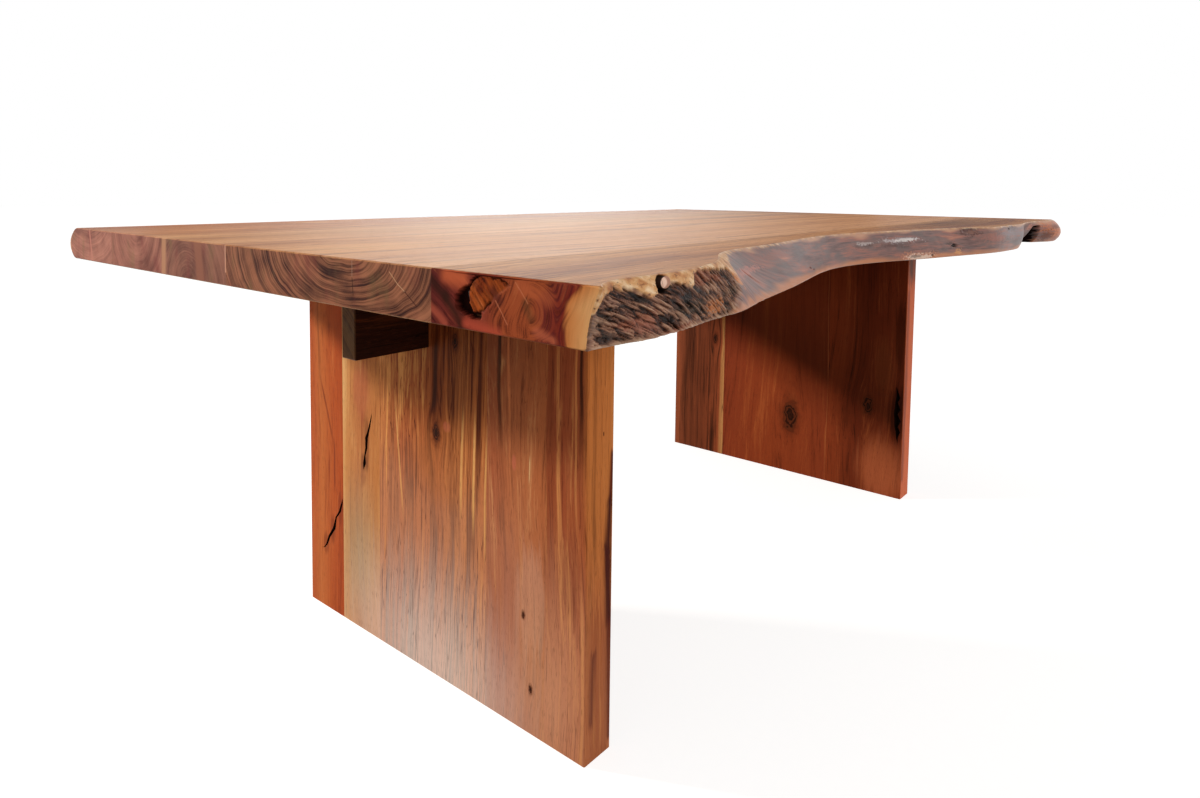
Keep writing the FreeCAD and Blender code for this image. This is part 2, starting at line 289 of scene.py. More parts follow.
def wood_colour(g, grain, low, high, across, dark, light, pith, ring=7, taper=0.03, flatness=1.0,
                bands=0.6, rings=0.35, streaks=0.7, threads=0.5, flames=0.3, wander=1.0, seed=0.0,
                knots=(), lines=(), patches=(), shade=None, side_tint=(0.0, TAN), side_marks=(),
                end_rings=0.75, end_dark=UMBER, end_light=ROSE, end_marks=()):
    """Colour, roughness and height of one board's wood.

    low, high: the board's y, in metres, and across: stops of colour from the one to the other.
    bands, rings, streaks, threads, flames: how strong each kind of figure is. All places and
    sizes that follow are in millimetres. pith: the middle of the log, across and through the
    board, flatness: how much wider than high its rings are, and ring: their width. knots: (along,
    across, radius). lines: (across, half width, from, to, lean, colour). patches: (along, across,
    half length, half width, share, colour). shade: a painted shadow beyond a slanting line: (along,
    half width of its border, slope, share, colour). side_tint: share and colour that the narrow
    faces are blended towards, and side_marks (start, end, half width, share, colour), through and
    along the board, are on them. end_rings: how strongly the rings show on the sawn ends, and
    end_marks: (start, end, half width, colour) there.
    """
    board = Grain(g, grain, wander, seed)
    board.bend_round(metres(*knots))
    along, y, through, v = board.along, board.across, board.through, board.v
    radius, turn = board.rings(metres(*pith), taper, flatness)
    drawn = board.shifted * 0.4 + turn
    broad = g.centred((radius * 30, drawn, seed), 4.6, detail=3.0, roughness=0.6)
    narrow = g.centred((radius / (ring * MM), drawn + 5, seed), 4.4, roughness=0.55)
    streak = board.streak(0.8, 95, 4.6, detail=4.0, roughness=0.74)
    band = board.streak(0.8, 24, 4.0, offset=7)
    flame = board.streak(6, 260, 4.4, detail=2.0, offset=11)
    thread = g.smooth(abs(board.streak(2.2, 190, 1.0, detail=1.0, offset=3)), 0.0, 0.028, 1.0, 0.0)
    fibre = board.streak(9, 800, 3.0, detail=2.0)
    pores = g.smooth(g.noise((along * 55, y * 1500, through * 1500), detail=1.0), 0.61, 0.72)

    figure = (broad * bands + narrow * rings + ((streak + band) * streaks + fibre * 0.14)
              + (flame * flames - thread * threads))
    colour = g.ramp((v - low) / (high - low), across)
    colour = g.blend(g.smooth(figure, -0.05, -1.3, 0.0, 0.95), colour, dark)
    colour = g.blend(g.smooth(figure, 0.05, 1.3, 0.0, 0.90), colour, light)

    rag = streak * 0.28 + band * 0.18
    for *place, share, paint_colour in patches:
        at, side, half_length, half_width = metres(*place)
        ragged, core = (rag * 0.35, 0.0) if half_length > BROAD_PATCH else (rag, 0.55)
        here = g.spot(along, y, (at, side), (half_length, half_width), ragged, core)
        colour = g.blend(here * share, colour, g.blend(0.35, paint_colour, colour))

    if shade:
        *place, slope, share, shade_colour = shade
        start, soft = metres(*place)
        beyond = along - (y * slope + start)
        fading = g.smooth(beyond, soft, soft * 8, share, share * 0.5)
        colour = g.blend(g.smooth(beyond, -soft, soft) * fading, colour, shade_colour)
    hair = streak * 0.6 + (flame * 0.4 - thread)
    colour = g.blend(g.smooth(hair, -0.1, -1.3, 0.0, 0.45 * streaks), colour, dark)
    colour = g.blend(g.smooth(hair, 0.2, 1.2, 0.0, 0.30 * streaks), colour, light)

    for *place, lean, paint_colour in lines:
        side, half, start, end = metres(*place)
        fade = (end - start) * 0.3
        mask = g.smooth(abs(v + along * lean - side), half * 0.35, half, 1.0, 0.0)
        mask = mask * g.smooth(along, start, start + fade) * g.smooth(along, end - fade, end, 1.0, 0.0)
        colour = g.blend(mask * (streak * 0.3 + 0.80), colour, paint_colour)

    for ragged, size in board.knots:
        colour = g.blend(g.smooth(ragged, size * 0.8, size * 2.0, 0.6, 0.0), colour, (92, 38, 20))
        turns = g.smooth(g.math("SINE", ragged * (17.0 / size)), -1.0, 1.0)
        heart = g.blend(turns, (24, 9, 5), (92, 44, 24))
        colour = g.blend(g.smooth(ragged, size * 0.7, size * 1.15, 0.9, 0.0), colour, heart)
        colour = g.blend(g.smooth(ragged, size * 0.5, size * 0.15, 0.0, 0.7), colour, BLACK)
    colour = g.blend(pores * 0.55, colour, UMBER)

    facing = g.facing()
    aside = g.smooth(abs(facing[1]), *FLAT_ENOUGH)
    colour = g.blend(aside * side_tint[0], colour, side_tint[1])
    for *place, share, paint_colour in side_marks:
        start, end, half = metres(*place)
        shift = streak * (half * 0.35) + band * (half * 0.3)
        mark = g.stroke(through + shift, along + flame * half, start, end, half, core=0.0)
        colour = g.blend(mark * aside * share, colour, paint_colour)

    # sawn ends show the rings as arcs, in other colours
    sawn = g.smooth(abs(facing[0 if grain == "x" else 2]), *FLAT_ENOUGH)
    grit = g.centred((seed, y * 900, through * 900), 2.0)
    cloud = g.centred((seed, y * 26, through * 26), 3.4)
    warp = g.centred((seed + 3, y * 24, through * 36), 8 * MM)
    year = g.centred(((radius + warp) * (2.2 / (ring * MM)), turn * 1.4, seed), 4.6, detail=3.0,
                     roughness=0.6)
    arcs = year * end_rings + broad * 0.6 + (grit * 0.35 + cloud * 0.4)
    end_colour = g.blend(g.smooth(arcs, -1.0, 1.0), end_dark, end_light)
    tinge = g.centred((seed + 9, y * 34, through * 14), 3.2)
    end_colour = g.blend(g.smooth(tinge, 0.1, 0.9, 0.0, 0.5), end_colour, (116, 92, 60))
    end_colour = g.blend(g.smooth(tinge, -0.1, -0.9, 0.0, 0.55), end_colour, (120, 54, 50))
    for *place, paint_colour in end_marks:
        mark = g.stroke(y + grit * (0.4 * MM), through, *metres(*place))
        end_colour = g.blend(mark * 0.9, end_colour, paint_colour)
    colour = g.blend(sawn, colour, end_colour)

    roughness = pores * 0.12 + streak * 0.03 + 0.43 + sawn * 0.06
    return colour, roughness, pores * -0.6 + (fibre * 0.12 + narrow * 0.08)


def wood(name, gloss=0.03, bump=0.12, **board):
    """bump: the depth of the pores, in millimetres."""
    g = Graph(name)
    colour, roughness, height = wood_colour(g, **board)
    return g.surface(colour, roughness, height, bump * MM, Specular_IOR_Level=gloss)


def board_wood(name, node, grain, **looks):
    """The wood of one CAD board, which its colours reach right across."""
    low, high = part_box(node)
    return wood(name, grain=grain, low=low.y, high=high.y, **looks)


def natural_skin(name, patches=(), specks=0.85):
    """The finish of a natural edge: grey-brown bark, smooth purple-grey wood and pale sapwood.

    patches, in millimetres: (along, height, half length, half height, share, colour). specks: how
    strong the brown specks in the sapwood are.
    """
    g = Graph(name)
    x, _, z = g.place()
    bark, sap, deep, lie, sunk = (g.mask(key) for key in ("bark", "sap", "deep", "lie", "sunk"))
    fibre = g.noise((x * 34, lie * 520, 1), detail=3.0)
    strand = g.noise((x * 14, lie * 170, 2), detail=3.0)
    broad = g.noise((x * 7, lie * 38, 3))
    tint = g.noise((x * 11, z * 45, 4))

    # lighter on the bark's ridges, darker where it is sunk: its own tone, with painted shade in the hollows
    wear_and_shade = fibre * 0.40 + (strand * 0.30 + broad * 0.30) - sunk * 0.24 + 0.11
    bark_and_shade = g.ramp(wear_and_shade, ((0.26, BLACK), (0.35, (52, 28, 20)), (0.43, (98, 62, 46)),
                         (0.51, (146, 104, 82)), (0.60, (182, 142, 116)), (0.72, (220, 188, 162))))
    bark_and_shade = g.blend(g.smooth(tint, 0.52, 0.66, 0.0, 0.30), bark_and_shade, (100, 86, 68))
    bark_and_shade = g.blend(g.smooth(tint, 0.46, 0.34, 0.0, 0.50), bark_and_shade, (156, 84, 58))

    calm = fibre * 0.30 + (strand * 0.35 + broad * 0.35)
    bare = g.ramp(calm, ((0.32, (66, 42, 40)), (0.43, (100, 70, 66)), (0.50, (124, 92, 86)),
                         (0.57, (152, 98, 84)), (0.68, (186, 124, 100))))
    bare = g.blend(g.smooth(tint, 0.50, 0.62, 0.0, 0.60), bare, (98, 86, 84))
    rim = z + (broad - 0.5) * 0.03
    bare = g.blend(g.smooth(rim, 0.715, 0.704, 0.0, 0.85), bare, (200, 128, 84))
    bare = g.blend(g.smooth(rim, 0.754, 0.760, 0.0, 0.6), bare, (214, 164, 128))

    speck = g.noise((x * 170, z * 240, 5), detail=3.0, roughness=0.65)
    smudge = g.noise((x * 42, z * 70, 6), detail=3.0, roughness=0.6)
    cream = g.ramp(strand * 0.25 + smudge * 0.75, ((0.34, (146, 84, 46)), (0.44, (192, 130, 78)),
                                                   (0.52, (216, 164, 110)), (0.64, (244, 212, 172))))
    cream = g.blend(g.smooth(speck, 0.56, 0.68, 0.0, specks), cream, (96, 50, 28))

    colour = g.blend(sap, g.blend(bark, bare, bark_and_shade), cream)
    for *place, share, paint_colour in patches:
        at, height, half_length, half_height = metres(*place)
        away = g.length((x - at) / half_length, (z - height) / half_height)
        away = away + (strand - 0.5) * 2.4 + (speck - 0.5) * 3.4
        colour = g.blend(g.smooth(away, 0.45, 1.05, share, 0.0), colour, paint_colour)
    # near-black where the face is deep: partly the bark's own dark fissures, partly painted shade in them,
    # in the cave and in the hollow round the stub
    colour = g.blend(deep * 0.95, colour, (18, 9, 6))

    roughness = bark * 0.10 + 0.36 + (fibre - 0.5) * 0.3
    relief = fibre * (bark + 0.25) + strand * 0.5
    return g.surface(colour, roughness, relief, 0.5 * MM, Specular_IOR_Level=0.22)


def crack_wood():
    """The near-black inside of cracks and hollows: painted shade, over dark bark in the bark pocket and the
    cave.
    """
    g = Graph("crack_wood")
    grain = g.noise(g.add("TexCoord").outputs["Object"], scale=700.0, detail=3.0)
    return g.surface(g.blend(grain, BLACK, (30, 13, 8)), 0.9, grain, 0.2 * MM, Specular_IOR_Level=0.02)


INNER = crack_wood()


# ---- camera, lights and floor ----

PHOTO_WIDTH, PHOTO_HEIGHT = 1200, 798
SENSOR = 36.0
FOCAL_PIXELS = 800.3
PRINCIPAL_X, PRINCIPAL_Y = 521.8, 238.1
CAMERA_PLACE = Vector((-1.6036, -1.0393, 0.8441))
CAMERA_YAW, CAMERA_PITCH, CAMERA_ROLL = 42.73, 3.71, -0.36      # degrees: from +X, down, clockwise

SKY_LIGHT = 0.46
FLOOR_REACH, FLOOR_LIFT = 30.0, 0.80
KEY_PLACE, KEY_TARGET = Vector((-2.40, 2.80, 1.72)), Vector((-0.10, 0.0, 0.5))
KEY_SIZE, KEY_POWER = 0.25, 118.0
FILL_TOWARD, FILL_STRENGTH, FILL_SPREAD = (-0.10, -0.95, 0.25), 1.2, 30.0
SCREEN_WIDTH, SCREEN_HEIGHT = 6.4, 1.5
SCREEN_PLACE = Vector((3.54, 3.71, 1.50))
SHEEN = 5.2
FLAG_X, FLAG_Y, FLAG_Z = (-0.70, 1.10), (0.60, 0.80), 0.70


def make_camera():
    data = bpy.data.cameras.new("camera")
    data.sensor_width = SENSOR
    data.lens = FOCAL_PIXELS / PHOTO_WIDTH * SENSOR
    data.shift_x = (PHOTO_WIDTH / 2 - PRINCIPAL_X) / PHOTO_WIDTH
    data.shift_y = (PRINCIPAL_Y - PHOTO_HEIGHT / 2) / PHOTO_WIDTH
    yaw, pitch, roll = (math.radians(a) for a in (CAMERA_YAW, CAMERA_PITCH, CAMERA_ROLL))
    forward = Vector((math.cos(yaw) * math.cos(pitch), math.sin(yaw) * math.cos(pitch),
                      -math.sin(pitch)))
    level = forward.cross(Vector((0, 0, 1))).normalized()
    down = forward.cross(level)
    right = math.cos(roll) * level + math.sin(roll) * down
    up = math.sin(roll) * level - math.cos(roll) * down
    turn = Matrix((right, up, -forward)).transposed()
    camera = put("camera", data)
    camera.matrix_world = Matrix.Translation(CAMERA_PLACE) @ turn.to_4x4()
    bpy.context.scene.camera = camera


def seen_directly(g):
    """1 for what the camera sees, itself or in a reflection or through glass."""
    path = g.add("LightPath").outputs
    seen = g.math("MAXIMUM", path["Is Camera Ray"], path["Is Glossy Ray"])
    return g.math("MAXIMUM", seen, path["Is Transmission Ray"])


def make_world():
    """White to look at, but with less light for the table."""
    g = Graph("studio", "worlds")
    g.add("OutputWorld", g.add("Background", WHITE, g.smooth(seen_directly(g), 0.0, 1.0, SKY_LIGHT, 1.0)))
    bpy.context.scene.world = g.owner


def make_floor():
    """A pale floor, clear from below. It throws less light on the table than the camera sees."""
    g = Graph("floor")
    grain = g.noise(g.add("TexCoord").outputs["Object"], scale=60.0, detail=3.0)
    seen = g.add("AddShader", g.add("BsdfDiffuse", g.blend(grain, (176, 175, 173), (184, 183, 181))),
                 g.add("Emission", Strength=FLOOR_LIFT))
    both = g.add("MixShader", seen_directly(g), g.add("BsdfDiffuse", (170, 166, 160)), seen)
    below = g.add("NewGeometry").outputs["Backfacing"]
    g.add("OutputMaterial", g.add("MixShader", below, both, g.add("BsdfTransparent")))
    corners = [(FLOOR_REACH * x, FLOOR_REACH * y, 0) for x, y in ((-1, -1), (1, -1), (1, 1), (-1, 1))]
    build("floor", corners, [(0, 1, 2, 3)], g.owner)


def make_lamp(name, kind, toward, power, colour, place=(0, 0, 0), **settings):
    """toward: from what it lights to the lamp."""
    data = bpy.data.lights.new(name, kind)
    data.energy, data.color = power, tone(*colour)[:3]
    for key, value in settings.items():
        setattr(data, key, value)
    lamp = put(name, data)
    lamp.location = place
    lamp.rotation_euler = Vector(toward).to_track_quat("Z", "Y").to_euler()


def show_only_in(piece, shown):
    """A studio aid that no camera, mirror or bounce of light shows, but for one of them."""
    for kind in ("camera", "diffuse", "glossy", "transmission", "shadow"):
        setattr(piece, "visible_" + kind, False)
    setattr(piece, "visible_" + shown, True)


def make_sheen_screen():
    """A wide screen of light behind the table, bright in its middle, for the sheen on the top."""
    g = Graph("sheen_screen")
    glow = g.smooth(abs(g.place()[0]), 0.2, SCREEN_WIDTH / 2, SHEEN, 0.0)
    g.add("OutputMaterial", g.add("Emission", (248, 250, 246), glow))
    x, z = SCREEN_WIDTH / 2, SCREEN_HEIGHT / 2
    screen = build("sheen_screen", [(-x, 0, -z), (x, 0, -z), (x, 0, z), (-x, 0, z)], [(0, 1, 2, 3)],
                   g.owner)
    screen.location = SCREEN_PLACE
    screen.rotation_euler = (0, 0, math.atan2(-SCREEN_PLACE.y, -SCREEN_PLACE.x) + math.pi / 2)
    show_only_in(screen, "glossy")


def make_flag():
    """A flag behind the table's far half, which keeps the key off the top of the far leg."""
    (x0, x1), (y0, y1), z = FLAG_X, FLAG_Y, FLAG_Z
    corners = [(x0, y0, z), (x1, y0, z), (x1, y1, z), (x0, y1, z)]
    show_only_in(build("flag", corners, [(0, 1, 2, 3)], Graph("flag").surface(BLACK, 0.9)), "shadow")


bpy.context.scene.view_settings.view_transform = "Standard"
make_camera()
make_world()
make_floor()
make_lamp("key", "AREA", KEY_PLACE - KEY_TARGET, KEY_POWER, (255, 250, 243), KEY_PLACE,
          shape="RECTANGLE", size=KEY_SIZE, size_y=KEY_SIZE)
make_lamp("fill", "SUN", FILL_TOWARD, FILL_STRENGTH, (255, 250, 245), angle=math.radians(FILL_SPREAD))
make_sheen_screen()
make_flag()


# ---- natural edges, sculpted over the CAD boards' own faces ----

END_ARRIS = 1.5 * MM
EDGE_ROUND = 2.6 * MM                # radius of the worn corner between a natural face and a flat one
CORNER_ROWS = metres(0, 0.3, 0.8, 1.6) + (EDGE_ROUND,)
FLAT_ROWS = metres(40, 12, 4)        # rows of points on the flat faces, from the corner
FACE_STEP, END_STEP = 1.15 * MM, 1.4 * MM
FINE_STEP, STEP, BACK_STEP = 1.1 * MM, 2.4 * MM, 5 * MM      # between the columns along a board
MASKS = ("bark", "sap", "deep", "sunk", "lie", "ring", "block", "pit")
NATURAL, SAWN, IN_HOLLOW = range(3)  # the materials of a sculpted board


def smoothstep(low, high, value):
    share = min(max((value - low) / (high - low), 0.0), 1.0)
    return share * share * (3 - 2 * share)


def mix(a, b, share):
    return a + (b - a) * share


def along_line(points, place):
    """Height at a place of a line through (place, height) points, level beyond its ends."""
    if place <= points[0][0]:
        return points[0][1]
    for (x0, h0), (x1, h1) in zip(points, points[1:]):
        if place <= x1:
            return mix(h0, h1, (place - x0) / (x1 - x0))
    return points[-1][1]


def ripple(x, y, z=0.0):
    """Smooth noise from -1 to 1."""
    return noise.noise(Vector((x, y, z)))


def wave_share(x, y, z):
    """Smooth noise from 0 to 1."""
    return 0.5 + 0.5 * ripple(x, y, z)


def places(start, end, step):
    """Even places from start up to end, which is left out."""
    count = max(round(abs(end - start) / step), 1)
    return [start + (end - start) * i / count for i in range(count)]


class NaturalEdge:
    """The face of a board's natural edge as the CAD has it, smoothed along the board."""

    PITCH = 9 * MM
    INSET = 2 * MM                   # what is read keeps this far from the board's other faces

    def __init__(self, node, side, hidden=(0.0, 0.0)):
        """side: -1 for an edge that looks to -Y. hidden: from and to, where a hole breaks the face."""
        self.side = side
        self.low, self.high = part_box(node)
        self.middle = (self.low.z + self.high.z) / 2
        self.reach = self.high.z - self.middle - self.INSET
        mesh = nodes[node].data
        tree = BVHTree.FromPolygons([v.co for v in mesh.vertices],
                                    [p.vertices for p in mesh.polygons])
        self.start = self.low.x + self.INSET
        length = self.high.x - self.INSET - self.start
        count = round(length / self.PITCH)
        self.pitch = length / count
        self.rows = []
        for i in range(count + 1):
            x = self.start + i * self.pitch
            seen = not hidden[0] < x < hidden[1]
            self.rows.append([self.read(tree, x, self.middle + level * self.reach)
                              for level in (-1, 0, 1)] if seen else None)
        self.bridge()

    def read(self, tree, x, z):
        return tree.ray_cast(Vector((x, self.side, z)), Vector((0, -self.side, 0)))[0].y

    def bridge(self):
        """Fills the rows that a hole hides, straight from side to side."""
        seen = [i for i, row in enumerate(self.rows) if row]
        for i, row in enumerate(self.rows):
            if row is None:
                before = max(s for s in seen if s < i)
                after = min(s for s in seen if s > i)
                share = (i - before) / (after - before)
                self.rows[i] = [mix(a, b, share)
                                for a, b in zip(self.rows[before], self.rows[after])]

    def section(self, x):
        """The edge at one place along: a function from height to y."""
        place = min(max((x - self.start) / self.pitch, 0.0), len(self.rows) - 1.0)
        i = min(int(place), len(self.rows) - 2)
        t = place - i
        four = [self.rows[min(max(i + k, 0), len(self.rows) - 1)] for k in (-1, 0, 1, 2)]
        weights = ((-t + 2 * t ** 2 - t ** 3) / 2, (2 - 5 * t ** 2 + 3 * t ** 3) / 2,
                   (t + 4 * t ** 2 - 3 * t ** 3) / 2, (t ** 3 - t ** 2) / 2)
        below, half, above = (sum(w * row[k] for w, row in zip(weights, four)) for k in range(3))

        def face(z):
            s = (z - self.middle) / self.reach
            return half + s * (above - below) / 2 + s * s * ((above + below) / 2 - half)
        return face


def face_heights(low, high):
    """Heights of a face's rows from the top down, closer where the corners are round."""
    flat = high - low - 2 * EDGE_ROUND
    count = round(flat / FACE_STEP)
    middle = [high - EDGE_ROUND - flat * i / count for i in range(1, count)]
    return [high - c for c in CORNER_ROWS] + middle + [low + c for c in reversed(CORNER_ROWS)]


def rounding(z, low, high):
    """How far the face draws back at its worn corners."""
    gap = EDGE_ROUND - min(high - z, z - low)
    return EDGE_ROUND - math.sqrt(max(EDGE_ROUND ** 2 - gap ** 2, 0.0)) if gap > 0 else 0.0


def sculpted_board(name, node, edge, columns, carve, skin, sawn, carve_end=None):
    """A board with a natural face cut in by carve(x, z, y), which also gives the face's masks.

    carve_end(y, z, depth, near), if there is one, cuts in the sawn ends and gives their masks.
    skin and sawn are the materials of the natural face and of the others.
    """
    low, high, side = edge.low, edge.high, edge.side
    seam = high.y if side < 0 else low.y
    heights = face_heights(low.z, high.z)
    points, masks = [], []
    for x in (low.x, *columns, high.x - END_ARRIS, high.x):
        tip = END_ARRIS if x in (low.x, high.x) else 0.0
        face = edge.section(x)
        top, bottom = high.z - tip, low.z + tip
        natural = []
        for level in heights:
            z = mix(bottom, top, (level - low.z) / (high.z - low.z))
            cut, marks = carve(x, z, face(z))
            y = face(z) - side * (cut + rounding(level, low.z, high.z) + tip)
            natural.append(((x, y, z), marks))
        above, below = natural[0][0][1], natural[-1][0][1]
        upper = [seam] + [above - side * f for f in FLAT_ROWS]
        lower = [below - side * f for f in reversed(FLAT_ROWS)] + [seam]
        loop = [((x, y, top), {}) for y in upper] + natural + [((x, y, bottom), {}) for y in lower]
        points += [point for point, _ in loop]
        masks += [marks for _, marks in loop]
    rows = len(loop)
    natural_rows = range(len(upper), len(upper) + len(heights) - 1)

    faces, kinds = [], []
    for first in range(0, len(points) - rows, rows):
        for k in range(rows):
            a, b = first + k, first + (k + 1) % rows
            faces.append((a, b, b + rows, a + rows))
            hollow = min(masks[corner].get("hollow", 0.0) for corner in faces[-1])
            kinds.append(IN_HOLLOW if hollow > 0.5 else NATURAL if k in natural_rows else SAWN)
    for near, first in ((True, 0), (False, len(points) - rows)):
        outline = list(range(first, first + rows))
        if carve_end:
            fill_end(points, masks, faces, outline, edge, near, carve_end)
        else:
            faces.append(outline)
    kinds += [SAWN] * (len(faces) - len(kinds))

    piece = build(name, points, faces, skin, sawn, INNER)
    for key in MASKS:
        layer = piece.data.attributes.new(key, "FLOAT", "POINT")
        layer.data.foreach_set("value", [marks.get(key, 0.0) for marks in masks])
    piece.data.polygons.foreach_set("material_index", kinds)
    tidy_normals(piece.data)
    stand_in(piece, node)


def fill_end(points, masks, faces, loop, edge, near, carve_end):
    """Closes a sawn end with points all over it, each cut in by carve_end."""
    x = points[loop[0]][0]
    inward = 1 if near else -1
    face = edge.section(x)
    outline = [Vector(points[i][1:]) for i in loop]
    low_z, high_z = min(p.y for p in outline), max(p.y for p in outline)
    seam = outline[0].x
    inner = []
    for z in places(low_z + END_STEP, high_z, END_STEP):
        tip = face(z) - edge.side * (4 * MM)
        while not inside(Vector((tip, z)), outline):
            tip -= edge.side * MM
        inner += [Vector((y, z)) for y in places(seam + edge.side * END_STEP, tip, END_STEP)]
    spots, _, triangles, origins, _, _ = delaunay_2d_cdt(outline + inner, [],
                                                         [list(range(len(outline)))], 1, 1e-6)
    numbers = []
    for spot, origin in zip(spots, origins):
        depth = abs(spot.x - face(spot.y))
        cut, marks = carve_end(spot.x, spot.y, depth, near)
        if origin and origin[0] < len(loop):
            masks[loop[origin[0]]] = {**masks[loop[origin[0]]], **marks}
            numbers.append(loop[origin[0]])
        else:
            numbers.append(len(points))
            points.append((x + inward * cut, spot.x, spot.y))
            masks.append(marks)
    faces += [tuple(numbers[i] for i in triangle) for triangle in triangles]


def inside(point, outline):
    """Whether a point lies in an outline."""
    crossings = 0
    for a, b in zip(outline, outline[1:] + outline[:1]):
        if (a.y > point.y) != (b.y > point.y):
            crossings += point.x < a.x + (point.y - a.y) * (b.x - a.x) / (b.y - a.y)
    return crossings % 2 == 1


def from_outline(point, outline):
    """Distance from an outline, less than 0 inside it."""
    nearest = 1.0
    for a, b in zip(outline, outline[1:] + outline[:1]):
        foot, share = intersect_point_line(point, a, b)
        foot = a if share < 0 else b if share > 1 else foot
        nearest = min(nearest, (point - foot.xy).length)
    return -nearest if inside(point, outline) else nearest


def tidy_normals(mesh, sharp=38):
    """All faces outward, smooth except across sharp edges."""
    shape = bmesh.new()
    shape.from_mesh(mesh)
    bmesh.ops.recalc_face_normals(shape, faces=shape.faces)
    shape.to_mesh(mesh)
    shape.free()
    mesh.polygons.foreach_set("use_smooth", [True] * len(mesh.polygons))
    mesh.set_sharp_from_angle(angle=math.radians(sharp))


# ---- the live edge ----

stub_low, stub_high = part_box("edge_stub")
STUB_X, STUB_Z = (stub_low.x + stub_high.x) / 2, (stub_low.z + stub_high.z) / 2
HOLLOW_SHIFT, HOLLOW_DROP = -2.6 * MM, 1.5 * MM    # its middle, from the stub's
HOLLOW_HALF_WIDTH, HOLLOW_HALF_HEIGHT, HOLLOW_DEPTH = 11.6 * MM, 9.2 * MM, 12 * MM

live = NaturalEdge("top_board_5", -1, hidden=(STUB_X - 22 * MM, STUB_X + 22 * MM))

BARK_END_LOW, BARK_END_HIGH = -0.785, -0.690       # where the rough bark stops, below and above
LIE_START, LIE_LEFT, LIE_RIGHT = -1.065, 0.28, 0.93      # slope of the bark's fissures at both ends
LIE_FADE = 0.10                      # how soon the fissures' slope dies out beyond the bark
BARK_FINE_END = -0.64                # finer columns up to here

# sapwood along the top of the face: place along, and how far down it reaches
SAP_BAND = metres((-1065, 26), (-1056, 20), (-1045, 11), (-1025, 7), (-999, 10), (-975, 17), (-963, 21),
                  (-952, 14), (-930, 9), (-907, 12), (-888, 18), (-880, 6), (-865, 3), (-825, 6),
                  (-760, 9), (-735, 20), (-712, 22), (-695, 12), (-672, 6), (-640, 2), (-600, 1.5))

# pits in the bark: place along, height, half length, half height, depth
PITS = metres((-961, 716, 9, 2.6, 6), (-947, 717, 16, 3.4, 8), (-931, 709, 13, 3.6, 9),
              (-919, 726, 14, 2.8, 7), (-899, 726, 13, 3.4, 8), (-877, 739, 15, 2.6, 6),
              (-855, 748, 18, 3.4, 7), (-835, 728, 14, 2.4, 5), (-866, 716, 12, 2.2, 5),
              (-818, 741, 20, 2.6, 6), (-985, 728, 12, 1.8, 3), (-1015, 736, 14, 1.6, 3),
              (-1003, 714, 11, 1.6, 3), (-1040, 722, 10, 1.5, 3))

# small dents and splits in the smooth part, as the pits
DENTS = metres((-349, 716, 7, 1.8, 2.5), (-330, 712, 5, 1.4, 2), (-640, 727, 22, 1.6, 1.4),
               (-57, 738, 26, 5, 1.5), (83, 739, 34, 6, 1.8), (110, 708, 30, 4, 2.5),
               (168, 708, 6, 4, 4), (262, 724, 16, 4, 5), (329, 751, 27, 7, 1.6), (511, 753, 9, 2, 3),
               (700, 748, 10, 5, 4))

# patches of colour: place along, height, half length, half height, share, colour
# the whitish patches near -57, 70 and 90 along are painted highlights
LIVE_PATCHES = ((-983, 715, 26, 8, 0.65, (170, 108, 88)), (-835, 716, 26, 9, 0.8, (200, 124, 74)),
                (-727, 735, 16, 11, 0.85, (210, 134, 74)), (-640, 735, 70, 5, 0.6, (196, 118, 100)),
                (-500, 745, 70, 8, 0.5, (150, 92, 78)), (119, 709, 85, 9, 0.7, (190, 120, 86)),
                (119, 707, 50, 7, 0.75, (230, 204, 186)), (60, 737, 80, 10, 0.6, (86, 52, 46)),
                (70, 742, 70, 6, 0.75, (196, 184, 184)), (90, 741, 36, 3, 0.7, (236, 228, 224)),
                (-57, 736, 46, 7, 0.6, (86, 56, 50)), (-57, 740, 30, 3, 0.6, (210, 194, 190)),
                (329, 750, 34, 9, 0.85, (84, 46, 36)), (335, 751, 18, 4, 0.6, (146, 100, 84)),
                (268, 711, 15, 7, 0.75, (214, 150, 94)), (250, 728, 20, 6, 0.7, (72, 40, 34)),
                (420, 736, 60, 9, 0.5, (176, 106, 88)), (560, 742, 130, 12, 0.6, (130, 118, 122)),
                (740, 722, 60, 10, 0.6, (190, 124, 100)), (1000, 730, 96, 50, 0.95, (202, 118, 74)),
                (935, 716, 30, 18, 0.8, (84, 36, 22)), (985, 744, 40, 8, 0.75, (98, 46, 32)),
                (1000, 712, 40, 8, 0.6, (132, 62, 40)), (1030, 732, 26, 22, 0.7, (196, 128, 104)),
                (845, 746, 20, 9, 0.8, (200, 124, 98)))

# the cave before the far knob: its start at the lower and upper corner, end, roof and depth
CAVE_START_LOW, CAVE_START_HIGH, CAVE_END, CAVE_ROOF, CAVE_DEPTH = metres(842, 872, 905, 749, 26)
NOSE_START, NOSE_CUT = 0.94, 9 * MM  # the far knob is blunter than a plain bulge


def bark_lie(x):
    """How far the bark's fissures have dropped from the near end to a place along."""
    run = min(max(x - LIE_START, 0.0), BARK_END_HIGH - LIE_START)
    steepening = (LIE_RIGHT - LIE_LEFT) / (BARK_END_HIGH - LIE_START)
    beyond = max(x - BARK_END_HIGH, 0.0)
    faded = LIE_RIGHT * LIE_FADE * (1 - math.exp(-beyond / LIE_FADE))
    return LIE_LEFT * run + steepening * run * run / 2 + faded


